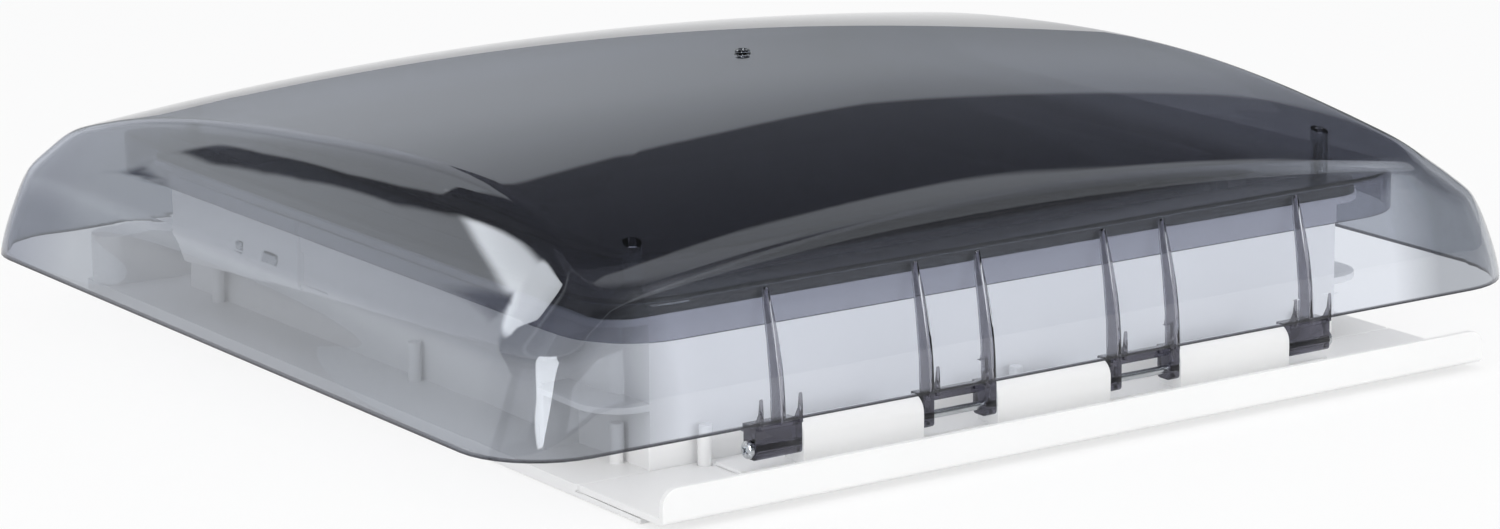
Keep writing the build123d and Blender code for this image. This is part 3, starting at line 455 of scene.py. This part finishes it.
def lay_tints(tree, socket, layers, ground=None):
    """Lays tints over a ground or a socket's own colour, each where its share says so."""
    colour = ground or list(socket.default_value)
    for share, tint in layers:
        colour = node(tree, "ShaderNodeMix", {"data_type": "RGBA"}, _0=share, _6=colour,
                      _7=linear(tint)).outputs[2]
    tree.links.new(colour, socket)


# The pane's crowned middle, over the opening, has a deeper tint and lets in less light: painted shade,
# which keeps the opening under it dark.
pane_acrylic, tree, place, sheet, clear = smoked("smoked_acrylic_pane", "#ABACB6", "#F2F3F5")
middle = node(tree, "ShaderNodeMapRange", None, square_reach(tree, place), 212 * MM, 196 * MM)
lay_tints(tree, clear.inputs["Color"], [(middle, "#6C6872")])
lay_tints(tree, sheet.inputs["Base Color"], [(middle, "#8A8790")])
PANE_X, PANE_Y, PANE_LOW, PANE_FLAT, PANE_WALL = 236.9, 241.4, 71.1, 90.4, 2.2
PANE_CORNER, CENTRE_HALF, CENTRE_CORNER = 38.0, 190.0, 34.0
PANE_CROWN, PANE_DROP, PANE_BEND = 106.0, 7.0, 3.2
BOSS_X, BOSS_Y = 199.5, 207.0
AROUND, TURN = 26, 9    # points along a side and round a corner
CENTRE_RINGS = 14


def pane_height(x, y):
    """Height of the pane's crowned centre."""
    return PANE_CROWN - PANE_DROP * ((x / CENTRE_HALF) ** 2 + (y / CENTRE_HALF) ** 2)


def pane_ring(inset, z):
    """A ring of the pane's rim, moved inwards."""
    at = ring(PANE_X - inset, inset - PANE_Y, PANE_Y - inset, PANE_CORNER - inset, 0.0, AROUND, TURN)
    return np.c_[at, np.full(len(at), z)]


def centre_ring(inset, drop=None, flat=None):
    """A ring of the pane's crowned centre, at a level or just under the crown."""
    at = ring(CENTRE_HALF - inset, inset - CENTRE_HALF, CENTRE_HALF - inset,
              max(CENTRE_CORNER - inset, 3.0), 0.0, AROUND, TURN)
    z = pane_height(at[:, 0], at[:, 1]) - drop if flat is None else np.full(len(at), flat)
    return np.c_[at, z]


rows = [pane_ring(0, PANE_LOW), pane_ring(0, PANE_LOW + 6), pane_ring(0, PANE_FLAT - PANE_BEND)]
rows += [pane_ring(PANE_BEND * (1 - math.cos(a)), PANE_FLAT - PANE_BEND * (1 - math.sin(a)))
         for a in np.linspace(0.25, math.pi / 2, 6)]
rows += [centre_ring(-3.0, flat=PANE_FLAT), centre_ring(-0.6, flat=PANE_FLAT + 0.8),
         centre_ring(0.0, flat=PANE_FLAT + 1.8), centre_ring(1.0, drop=1.6), centre_ring(3.0, drop=0.5),
         centre_ring(6.0, drop=0.0)]
for k in range(1, CENTRE_RINGS):
    at = centre_ring(6.0, drop=0.0)[:, :2] * (1 - k / CENTRE_RINGS)
    rows.append(np.c_[at, pane_height(at[:, 0], at[:, 1])])
pane = grid_mesh("pane_sheet", rows, cap=(0, 0, PANE_CROWN))
pane.data.materials.append(pane_acrylic)
wall = pane.modifiers.new("wall", "SOLIDIFY")
wall.thickness = PANE_WALL * MM
wall.offset = -1.0
apply_modifiers(pane)


def lathed(name, profile, place, around=40, top=None):
    """A closed turned solid of (radius, height) pairs, upright at a place; top may shape its last ring."""
    rows = []
    turn = np.linspace(0, 2 * math.pi, around, endpoint=False)
    for radius, height in profile:
        rows.append(np.c_[place[0] + radius * np.cos(turn), place[1] + radius * np.sin(turn),
                          np.full(around, height)])
    if top is not None:
        rows[-1][:, 2] = [top(x, y) for x, y, _ in rows[-1]]
    first = np.tile((*place, profile[0][1]), (around, 1))
    return grid_mesh(name, [first] + rows, cap=(*place, rows[-1][:, 2].mean()))


def carve(made, tool, operation):
    """Joins a solid to another or cuts it away; a tool with no finish of its own takes the other's."""
    if not tool.data.materials:
        tool.data.materials.append(made.data.materials[0])
    step = made.modifiers.new("carve", "BOOLEAN")
    step.material_mode = "TRANSFER"
    step.operation = operation
    step.solver = "MANIFOLD"
    step.object = tool
    apply_modifiers(made)
    bpy.data.objects.remove(tool)


def sharpen(made, degrees):
    """Smooth faces, with hard edges where they meet at more than an angle."""
    work = bmesh.new()
    work.from_mesh(made.data)
    bmesh.ops.remove_doubles(work, verts=work.verts, dist=2e-7)
    for face in work.faces:
        face.smooth = True
    for edge in work.edges:
        edge.smooth = len(edge.link_faces) == 2 and edge.calc_face_angle(0.0) < math.radians(degrees)
    work.to_mesh(made.data)
    work.free()


for x in (-BOSS_X, BOSS_X):
    for y in (-BOSS_Y, BOSS_Y):
        drill = lathed("drill", ((2.15, PANE_FLAT - 6), (2.15, PANE_FLAT + 4)), (x, y))
        carve(pane, drill, "DIFFERENCE")
sharpen(pane, 40)
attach(pane, "lid")
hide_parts("inner_pane")


# Outer dome: one moulding of smoked PMMA, 3.2 mm thick, with bowed sides and a soft crease under the crown.
# The eye gets a smoke tint, deepest where the sheet lies level on the crown: partly a thicker sheet, partly
# painted shade of the dark opening seen through it. The hinge side gets a much paler tint, painted light
# for the bright wall behind it, and the two rear corners a deeper one, painted shade. The polished rim
# shows the tint's full depth as a fine dark line.
dome_acrylic, tree, place, sheet, _ = smoked("smoked_acrylic_dome", "#B0B4BB", "#FBFBFC")
# The tint deepens where the surface lies level: partly the thicker sheet of the crown, partly painted shade
# of the dark opening seen through it.
facing = node(tree, "ShaderNodeSeparateXYZ", None, place.outputs["Normal"])
drawn = node(tree, "ShaderNodeValToRGB", None, node(tree, MATHS, "ABSOLUTE", facing.outputs["Z"]))
stops = drawn.color_ramp.elements
stops[0].position, stops[0].color = 0.30, linear("#B0B4BB")
stops[1].position, stops[1].color = 0.93, linear("#70737F")
stops.new(0.74).color = linear("#8D919A")
spot = node(tree, "ShaderNodeSeparateXYZ", None, place.outputs["Object"])
side = node(tree, MATHS, "ABSOLUTE", spot.outputs["X"])
hinge_side, between_corners, rear, far_out, rim = [
    node(tree, "ShaderNodeMapRange", None, value, none * MM, full * MM)
    for value, none, full in ((spot.outputs["Y"], -236, -244), (side, 235, 206),
                              (spot.outputs["Y"], 170, 235), (side, 225, 250),
                              (spot.outputs["Z"], 31.8, 31.2))]
# Painted light: a much paler tint on the hinge side, between the corners, lets the bright wall behind it
# show.
hinge_painted_light = node(tree, MATHS, "MULTIPLY", hinge_side, between_corners)
# Painted shade: a deeper tint in the two rear corners, out at the sides.
rear_corner_painted_shade = node(tree, MATHS, "MULTIPLY", rear, far_out)
lay_tints(tree, sheet.inputs["Base Color"],
          [(hinge_painted_light, "#E6EAF2"), (rear_corner_painted_shade, "#9094A0"), (rim, "#4A4B52")], drawn)
# Ribs and knuckles are seen through their length, so they look darker than the skirt.
rib_acrylic, tree, place, sheet, _ = smoked("smoked_acrylic_ribs", "#75747F", "#F2F3F5")
spot = node(tree, "ShaderNodeSeparateXYZ", None, place.outputs["Object"])
low = node(tree, "ShaderNodeMapRange", None, spot.outputs["Z"], 31.5 * MM, 28.5 * MM)
lay_tints(tree, sheet.inputs["Base Color"], [(low, "#605F6B")])
# Rim and crease: heights, half width, reach to the hinge side and the far side, and corner radii.
RIM_Z, RIM_X, RIM_HINGE, RIM_FAR, RIM_CORNER, WALL = 30.5, 296.7, 259.5, 273.3, 42.0, 3.2
CREASE_HINGE, CREASE_FAR, CREASE_CORNER = 236.0, 251.7, 26.0
CREASE_HINGE_Z, CREASE_FAR_Z = 109.7, 103.6
CREASE_SOFTNESS = 7.0                # how far the rounded crease reaches to each side
SIDE_BOW, BOW_RISE = 23.7, 75.0
PROFILE = np.array(((0, 0), (21.5, 4.8), (41.5, 8.9), (51.5, 17.3), (61.5, 27.4), (73.0, 39.0),
                    (84.0, 51.0), (92.9, 62.4), (112, 91.4)), float)    # rise above the rim, step inwards
UPWARDS, INWARDS, CREASE_RINGS = 34, 44, 9
CREASE_LOWEST, CREASE_HIGHEST, HALVINGS = 40.0, 111.0, 40    # the search for the crease, above the rim
INWARD_SPREAD = 1.15                 # above 1, the crown's rings stand closer together near the crease
MIDDLE = np.array((0.0, 6.0))


def crown(x, y):
    """Height of the crown in millimetres."""
    s, t = x / 235.0, y / 235.0
    return 136.4 - 13.0 * s ** 2 - 15.4 * t ** 2 - 11.9 * t ** 4 - 10.3 * t + 9.3 * t ** 3


def side_step(rise):
    """How far the side wall has moved inwards, by a smooth curve through the profile's points."""
    x, y = PROFILE.T
    chord = np.diff(y) / np.diff(x)
    slope = np.r_[chord[0], 2 / (1 / chord[:-1] + 1 / chord[1:]), chord[-1]]
    k = np.clip(np.searchsorted(x, rise) - 1, 0, len(x) - 2)
    h = x[k + 1] - x[k]
    t = (rise - x[k]) / h
    return (y[k] * (1 + 2 * t) * (1 - t) ** 2 + slope[k] * h * t * (1 - t) ** 2
            + y[k + 1] * t * t * (3 - 2 * t) + slope[k + 1] * h * t * t * (t - 1))


def hinge_reach(rise):
    """How far the skirt's hinge side stands from the middle at a rise."""
    return RIM_HINGE - (RIM_HINGE - CREASE_HINGE) * (rise / (CREASE_HINGE_Z - RIM_Z)) ** 2


def each_outline(rises):
    """The dome's outline where each point round it has its own rise above the rim."""
    far = RIM_FAR - (RIM_FAR - CREASE_FAR) * (rises / (CREASE_FAR_Z - RIM_Z)) ** 2
    share = rises / BOW_RISE
    corner = RIM_CORNER - (RIM_CORNER - CREASE_CORNER) * np.minimum(share, 1.2)
    bow = np.maximum(SIDE_BOW * share ** 1.5, 0.05)
    rings = ring(RIM_X - side_step(rises), -hinge_reach(rises), far, corner, bow, AROUND, TURN)
    index = np.arange(len(rings))
    return rings[index, :, index]


low = np.full(4 * (TURN + AROUND), CREASE_LOWEST)
high = np.full(4 * (TURN + AROUND), CREASE_HIGHEST)
for _ in range(HALVINGS):
    half = (low + high) / 2
    at = each_outline(half)
    under = RIM_Z + half < crown(at[:, 0], at[:, 1])
    low, high = np.where(under, half, low), np.where(under, high, half)
skirt = np.array([np.c_[each_outline(low * share), RIM_Z + low * share]
                  for share in np.linspace(1, 0, UPWARDS + 1)])
crease = skirt[0]
field = []
for j in range(INWARDS):
    at = MIDDLE + (crease[:, :2] - MIDDLE) * (1 - (j / INWARDS) ** INWARD_SPREAD)
    field.append(np.c_[at, crown(at[:, 0], at[:, 1])])
field = np.array(field)


def run_along(rows):
    """Distance of each row's points from the crease."""
    steps = np.linalg.norm(np.diff(rows, axis=0), axis=2)
    return np.concatenate((np.zeros((1, rows.shape[1])), np.cumsum(steps, axis=0)))


def at_distance(rows, distance):
    """The points at a distance from the crease."""
    run = run_along(rows)
    return np.array([[np.interp(distance, run[:, i], rows[:, i, c]) for c in range(3)]
                     for i in range(rows.shape[1])])


below, beyond = at_distance(skirt, CREASE_SOFTNESS), at_distance(field, CREASE_SOFTNESS)
limit = CREASE_SOFTNESS * 1.05
rings = [row for row, run in zip(skirt, run_along(skirt)) if run.min() > limit][::-1]
rings += [(1 - t) ** 2 * below + 2 * t * (1 - t) * crease + t ** 2 * beyond
          for t in np.linspace(0, 1, CREASE_RINGS)]
rings += [row for row, run in zip(field, run_along(field)) if run.min() > limit]
dome = grid_mesh("dome_moulding", rings, cap=(*MIDDLE, crown(*MIDDLE)))
dome.data.materials.append(dome_acrylic)
outside = BVHTree.FromPolygons([v.co.copy() for v in dome.data.vertices],
                               [tuple(p.vertices) for p in dome.data.polygons])
wall = dome.modifiers.new("wall", "SOLIDIFY")
wall.thickness = WALL * MM
wall.offset = -1.0
wall.use_even_offset = True
apply_modifiers(dome)


def under_skin(x, y):
    """Height of the middle of the dome's wall over a point."""
    hit = outside.ray_cast(Vector((x, y, 60.0)) * MM, Vector((0, 0, 1)))[0]
    return hit.z / MM - WALL / 2


# The dome's own details, moulded with it: four bosses for the pane's screws and the gate on the crown.
for x in (-BOSS_X, BOSS_X):
    for y in (-BOSS_Y, BOSS_Y):
        boss = lathed("boss", ((3.7, PANE_FLAT + 0.05), (4.2, PANE_FLAT + 0.6), (4.3, 96.0), (4.4, 100.0)),
                      (x, y), 48, under_skin)
        carve(dome, boss, "UNION")
        drill = lathed("drill", ((2.0, PANE_FLAT - 2), (2.0, PANE_FLAT + 12)), (x, y), 48)
        carve(dome, drill, "DIFFERENCE")
GATE_X, GATE_Y = 8.0, 12.0
GATE_FOOT = crown(GATE_X, GATE_Y)
GATE_PROFILE = ((4.4, -1.6), (4.4, 0.15), (4.0, 0.5), (3.9, 1.9), (3.4, 2.3), (2.4, 2.35),
                (1.8, 1.1))    # radius, rise above the crown
gate = lathed("gate", [(radius, GATE_FOOT + rise) for radius, rise in GATE_PROFILE], (GATE_X, GATE_Y), 48)
carve(dome, gate, "UNION")

# Hinge side of the dome: tall ribs and small gusset fins run down from the skirt to knuckles and ears,
# which turn on the pivot screws and the rod. All of it is part of the same moulding.
HINGE_Y, HINGE_Z = -251.0, 18.0
KNUCKLE_TOP, KNUCKLE_LOW, KNUCKLE_FRONT, KNUCKLE_BACK = 28.9, 13.2, 4.6, 5.4
BAR_END, KNUCKLE_END, EAR_OUT, EAR_OUT_IN, EAR_IN, EAR_IN_OUT = 141.8, 167.0, 74.4, 68.7, 33.3, 39.7
KNUCKLE_ROUND, ROD_BORE, PIVOT_BORE = 2.2, 2.05, 2.15    # radii
RIB_THICK, FIN_THICK = 2.6, 2.0
XYZ = "ShaderNodeCombineXYZ"


def skirt_front(z):
    """Y of the middle of the skirt's hinge-side wall at a height."""
    return -hinge_reach(max(z - RIM_Z, 0.0)) + WALL / 2


def outline_tree():
    """Geometry Nodes that give flat outlines a thickness to both sides."""
    tree = bpy.data.node_groups.new("thick_outlines", "GeometryNodeTree")
    tree.interface.new_socket("Geometry", in_out="INPUT", socket_type="NodeSocketGeometry")
    tree.interface.new_socket("Thickness", in_out="INPUT", socket_type="NodeSocketFloat")
    tree.interface.new_socket("Geometry", in_out="OUTPUT", socket_type="NodeSocketGeometry")
    start, end = tree.nodes.new("NodeGroupInput"), tree.nodes.new("NodeGroupOutput")
    half = node(tree, MATHS, "MULTIPLY", start.outputs[1], -0.5)
    moved = node(tree, "GeometryNodeSetPosition", Geometry=start, Offset=node(tree, XYZ, X=half))
    drawn = node(tree, "GeometryNodeExtrudeMesh", Mesh=moved, Offset=node(tree, XYZ, X=start.outputs[1]),
                 Offset_Scale=1.0, Individual=False)
    back = node(tree, "GeometryNodeFlipFaces", Mesh=moved)
    whole = node(tree, "GeometryNodeJoinGeometry", Geometry=drawn)
    tree.links.new(back.outputs[0], whole.inputs[0])
    closed = node(tree, "GeometryNodeMergeByDistance", Geometry=whole, Distance=1e-6)
    real = node(tree, "GeometryNodeRealizeInstances", Geometry=closed)
    coated = node(tree, "GeometryNodeSetMaterial", Geometry=real, Material=rib_acrylic)
    tree.links.new(coated.outputs[0], end.inputs[0])
    return tree


def use_tree(made, tree, **sizes):
    """Runs a Geometry Nodes tree on an object with the given sizes and keeps the plain mesh."""
    step = made.modifiers.new(tree.name, "NODES")
    step.node_group = tree
    for item in tree.interface.items_tree:
        key = item.name.replace(" ", "_").lower()
        if item.in_out == "INPUT" and key in sizes:
            step[item.identifier] = sizes[key]
    apply_modifiers(made)


thick_outlines = outline_tree()


def plates(name, outline, places, thickness):
    """Upright plates of one outline in the YZ plane, at several places along the hinge."""
    count = len(outline)
    points = [(x * MM, y * MM, z * MM) for x in places for y, z in outline]
    faces = [tuple(range(i * count, (i + 1) * count)) for i in range(len(places))]
    mesh = bpy.data.meshes.new(name)
    mesh.from_pydata(points, [], faces)
    work = bmesh.new()
    work.from_mesh(mesh)
    for face in work.faces:
        face.normal_update()
        if face.normal.x < 0:
            face.normal_flip()
    work.to_mesh(mesh)
    work.free()
    made = bpy.data.objects.new(name, mesh)
    scene.collection.objects.link(made)
    use_tree(made, thick_outlines, thickness=thickness * MM)
    edge = made.modifiers.new("edge", "BEVEL")
    edge.width = 0.3 * MM
    edge.segments = 2
    edge.limit_method = "ANGLE"
    edge.angle_limit = math.radians(40)
    apply_modifiers(made)
    return made


def with_mirror(values):
    """The values and their mirror images."""
    return [s * v for v in values for s in (-1, 1)]


rib = [(skirt_front(z), z) for z in np.linspace(88.0, 28.4, 12)]
rib += [(HINGE_Y + 3.0, 28.4), (HINGE_Y + 3.4, 45.0), (HINGE_Y + 5.8, 65.0), (HINGE_Y + 8.5, 80.0),
        (HINGE_Y + 8.6, 86.8), (HINGE_Y + 7.8, 88.8), (HINGE_Y + 6.2, 89.2)]
carve(dome, plates("ribs", rib, with_mirror((153.4, 71.5, 36.5)), RIB_THICK), "UNION")
fin = [(skirt_front(z), z) for z in np.linspace(44.5, 28.2, 5)]
fin += [(HINGE_Y + KNUCKLE_BACK - 2, 28.2), (HINGE_Y - 1.2, 30.5), (HINGE_Y - 3.8, 35.0),
        (HINGE_Y - 5.4, 46.0)]
carve(dome, plates("fins", fin, with_mirror((165.0, 143.8, 68.0, 40.4)), FIN_THICK), "UNION")


def low_round(front, back, low, top):
    """Side view of a knuckle: flat top, rounded underside."""
    points = [(back, top), (front, top)]
    for cy, side in ((front, 1), (back, -1)):
        turn = np.linspace(0, math.pi / 2, 7)[::side]
        points += [(cy + side * KNUCKLE_ROUND * (1 - math.cos(a)), low + KNUCKLE_ROUND * (1 - math.sin(a)))
                   for a in turn]
    return points


knuckle = low_round(HINGE_Y - KNUCKLE_FRONT, HINGE_Y + KNUCKLE_BACK, KNUCKLE_LOW, KNUCKLE_TOP)
foot = [(HINGE_Y - KNUCKLE_FRONT, KNUCKLE_TOP - 4), (HINGE_Y + 7.4, KNUCKLE_TOP - 4),
        (HINGE_Y + 7.4, KNUCKLE_TOP), (HINGE_Y - KNUCKLE_FRONT, KNUCKLE_TOP)]
web = [(HINGE_Y + 1, KNUCKLE_TOP - 5), (HINGE_Y + KNUCKLE_BACK, KNUCKLE_TOP - 5),
       (HINGE_Y + KNUCKLE_BACK, KNUCKLE_TOP), (HINGE_Y + 1, KNUCKLE_TOP)]
for side in (-1, 1):
    for outline, x0, x1 in ((knuckle, BAR_END, KNUCKLE_END), (foot, BAR_END + 0.3, KNUCKLE_END),
                            (knuckle, EAR_OUT_IN, EAR_OUT), (knuckle, EAR_IN, EAR_IN_OUT),
                            (foot, EAR_OUT_IN, EAR_OUT), (foot, EAR_IN, EAR_IN_OUT),
                            (web, EAR_IN_OUT - 1, EAR_OUT_IN + 1)):
        block = plates("block", outline, [side * (x0 + x1) / 2], x1 - x0)
        carve(dome, block, "UNION")
    for radius, x0, x1 in ((ROD_BORE, EAR_IN - 1, EAR_OUT + 1),
                           (PIVOT_BORE, BAR_END - 1, KNUCKLE_END + 1)):
        drill = lathed("drill", ((radius, 0.0), (radius, x1 - x0)), (0.0, 0.0), 48)
        turn = Matrix.Translation(Vector((side * x0, HINGE_Y, HINGE_Z)) * MM)
        drill.data.transform(turn @ Matrix.Rotation(math.radians(90 * side), 4, "Y"))
        carve(dome, drill, "DIFFERENCE")

sharpen(dome, 32)
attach(dome, "lid")
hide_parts("outer_dome")


# Screws: zinc-plated steel with a crowned pan head, a cross recess and a rolled thread, one Geometry
# Nodes tree for every size. They carry the knuckles and hold pane, hinge strip and pinion.
def screw_tree():
    """Geometry Nodes that put a pan-head screw on each point, along the point's own direction."""
    tree = bpy.data.node_groups.new("pan_head_screws", "GeometryNodeTree")
    face = tree.interface.new_socket
    face("Geometry", in_out="INPUT", socket_type="NodeSocketGeometry")
    for name in ("Head Radius", "Head Height", "Shank Radius", "Shank Length", "Pitch"):
        face(name, in_out="INPUT", socket_type="NodeSocketFloat")
    face("Geometry", in_out="OUTPUT", socket_type="NodeSocketGeometry")
    start, end = tree.nodes.new("NodeGroupInput"), tree.nodes.new("NodeGroupOutput")
    points, head_r, head_h, shank_r, shank_l, pitch = start.outputs[:6]

    # Head: a cylinder whose side tapers and whose top is crowned.
    head = node(tree, "GeometryNodeMeshCylinder", Vertices=48, Side_Segments=6, Fill_Segments=5,
                Radius=head_r, Depth=head_h)
    half_up = node(tree, MATHS, "MULTIPLY", head_h, 0.5)
    lifted = node(tree, "GeometryNodeTransform", Geometry=head, Translation=node(tree, XYZ, Z=half_up))
    at = node(tree, "ShaderNodeSeparateXYZ", None, node(tree, "GeometryNodeInputPosition"))
    x, y, z = at.outputs[:3]
    climb = node(tree, MATHS, "DIVIDE", z, head_h)
    steep = node(tree, MATHS, "POWER", node(tree, MATHS, "MULTIPLY", climb, 0.72), 4.0)
    taper = node(tree, MATHS, "SQRT", node(tree, MATHS, "SUBTRACT", 1.0, steep))
    squares = [node(tree, MATHS, "POWER", side, 2.0) for side in (x, y)]
    radius = node(tree, MATHS, "SQRT", node(tree, MATHS, "ADD", *squares))
    share = node(tree, MATHS, "POWER", node(tree, MATHS, "DIVIDE", radius, head_r), 2.0)
    middle = node(tree, MATHS, "SUBTRACT", 1.0, share)
    dished = node(tree, MATHS, "MULTIPLY", middle, node(tree, MATHS, "POWER", climb, 4.0))
    bulge = node(tree, MATHS, "MULTIPLY", dished, node(tree, MATHS, "MULTIPLY", head_h, 0.16))
    crowned = node(tree, MATHS, "MULTIPLY_ADD", z, 0.84, bulge)
    tapered = [node(tree, MATHS, "MULTIPLY", side, taper) for side in (x, y)]
    shaped = node(tree, "GeometryNodeSetPosition", Geometry=lifted,
                  Position=node(tree, XYZ, None, *tapered, crowned))

    # Recess: two crossed bars cut into the head.
    arm, slot, deep = [node(tree, MATHS, "MULTIPLY", size, share)
                       for size, share in ((head_r, 1.15), (head_r, 0.24), (head_h, 1.1))]
    bars = tree.nodes.new("GeometryNodeJoinGeometry")
    for width, depth in ((arm, slot), (slot, arm)):
        bar = node(tree, "GeometryNodeMeshCube", Size=node(tree, XYZ, None, width, depth, deep))
        placed = node(tree, "GeometryNodeTransform", Geometry=bar, Translation=node(tree, XYZ, Z=head_h))
        tree.links.new(placed.outputs[0], bars.inputs[0])
    recessed = node(tree, "GeometryNodeMeshBoolean", {"operation": "DIFFERENCE", "solver": "EXACT"},
                    shaped, bars, Self_Intersection=True)

    # Shank: a cylinder that starts just inside the head, with a wave turned into a thread.
    shank = node(tree, "GeometryNodeMeshCylinder", Vertices=24, Side_Segments=72, Fill_Segments=1,
                 Radius=shank_r, Depth=shank_l)
    half_down = node(tree, MATHS, "MULTIPLY_ADD", shank_l, -0.5, 0.1 * MM)
    lowered = node(tree, "GeometryNodeTransform", Geometry=shank, Translation=node(tree, XYZ, Z=half_down))
    turn = node(tree, MATHS, "DIVIDE", node(tree, MATHS, "ARCTAN2", y, x), 2 * math.pi)
    along = node(tree, MATHS, "ADD", node(tree, MATHS, "DIVIDE", z, pitch), turn)
    wave = node(tree, MATHS, "PINGPONG", along, 0.5)
    slim = node(tree, MATHS, "MULTIPLY_ADD", wave, -0.34, 1.0)
    grooved = [node(tree, MATHS, "MULTIPLY", side, slim) for side in (x, y)]
    threaded = node(tree, "GeometryNodeSetPosition", Geometry=lowered,
                    Position=node(tree, XYZ, None, *grooved, z))
    whole = node(tree, "GeometryNodeJoinGeometry", Geometry=recessed)
    tree.links.new(threaded.outputs[0], whole.inputs[0])

    # Each point's own axis aims its screw, and a random turn leaves the cross as a fitter would.
    axis = node(tree, "GeometryNodeInputNamedAttribute", {"data_type": "FLOAT_VECTOR"}, Name="axis")
    aimed = node(tree, "FunctionNodeAlignRotationToVector", {"axis": "Z"}, Vector=axis)
    spin = node(tree, "FunctionNodeRandomValue", _2=0.0, _3=1.5, Seed=4)
    spun = node(tree, "FunctionNodeRotateRotation", {"rotation_space": "LOCAL"}, Rotation=aimed,
                Rotate_By=node(tree, XYZ, Z=spin.outputs[1]))
    placed = node(tree, "GeometryNodeInstanceOnPoints", Points=points, Instance=whole, Rotation=spun)
    real = node(tree, "GeometryNodeRealizeInstances", Geometry=placed)
    coated = node(tree, "GeometryNodeSetMaterial", Geometry=real, Material=steel)
    tree.links.new(coated.outputs[0], end.inputs[0])
    return tree


pan_head_screws = screw_tree()
PIVOT_SEAT_X = 167.45
STRIP_SCREW_X, STRIP_SCREW_Y, STRIP_SEAT_Z = 108.0, -248.25, 1.35
PANE_SEAT_Z = PANE_FLAT - PANE_WALL - 0.15
KNOB_SEAT = (0.0, 162.0, 64.15)
pane_seats = [(x, y, PANE_SEAT_Z) for x in (-BOSS_X, BOSS_X) for y in (-BOSS_Y, BOSS_Y)]
# Each row: node, body, where the heads sit, which way they point, and head radius, head height, shank
# radius, shank length and pitch. The pivot screws' heads point away from the middle.
for name, body, places, axis, sizes in (
        ("hinge_pivot_screws", "frame", [(x, HINGE_Y, HINGE_Z) for x in (-PIVOT_SEAT_X, PIVOT_SEAT_X)],
         None, (4.2, 2.5, 2.1, 40.2, 1.4)),
        ("hinge_strip_screws", "frame",
         [(x, STRIP_SCREW_Y, STRIP_SEAT_Z) for x in (-STRIP_SCREW_X, STRIP_SCREW_X)], (0, 0, -1),
         (3.4, 1.0, 1.7, 10.6, 1.0)),
        ("pane_screws", "lid", pane_seats, (0, 0, -1), (4.0, 2.3, 1.85, 13.3, 1.2)),
        ("knob_screw", "knob", [KNOB_SEAT], (0, 0, 1), (3.0, 1.7, 1.2, 10.0, 0.8))):
    mesh = bpy.data.meshes.new(name + "_steel")
    mesh.from_pydata([tuple(c * MM for c in p) for p in places], [], [])
    aim = mesh.attributes.new("axis", "FLOAT_VECTOR", "POINT")
    for entry, (x, y, z) in zip(aim.data, places):
        entry.vector = axis or (math.copysign(1, x), 0, 0)
    made = bpy.data.objects.new(name + "_steel", mesh)
    scene.collection.objects.link(made)
    head_radius, head_height, shank_radius, shank_length, pitch = [size * MM for size in sizes]
    use_tree(made, pan_head_screws, head_radius=head_radius, head_height=head_height,
             shank_radius=shank_radius, shank_length=shank_length, pitch=pitch)
    sharpen(made, 35)
    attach(made, body)
    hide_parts(name)
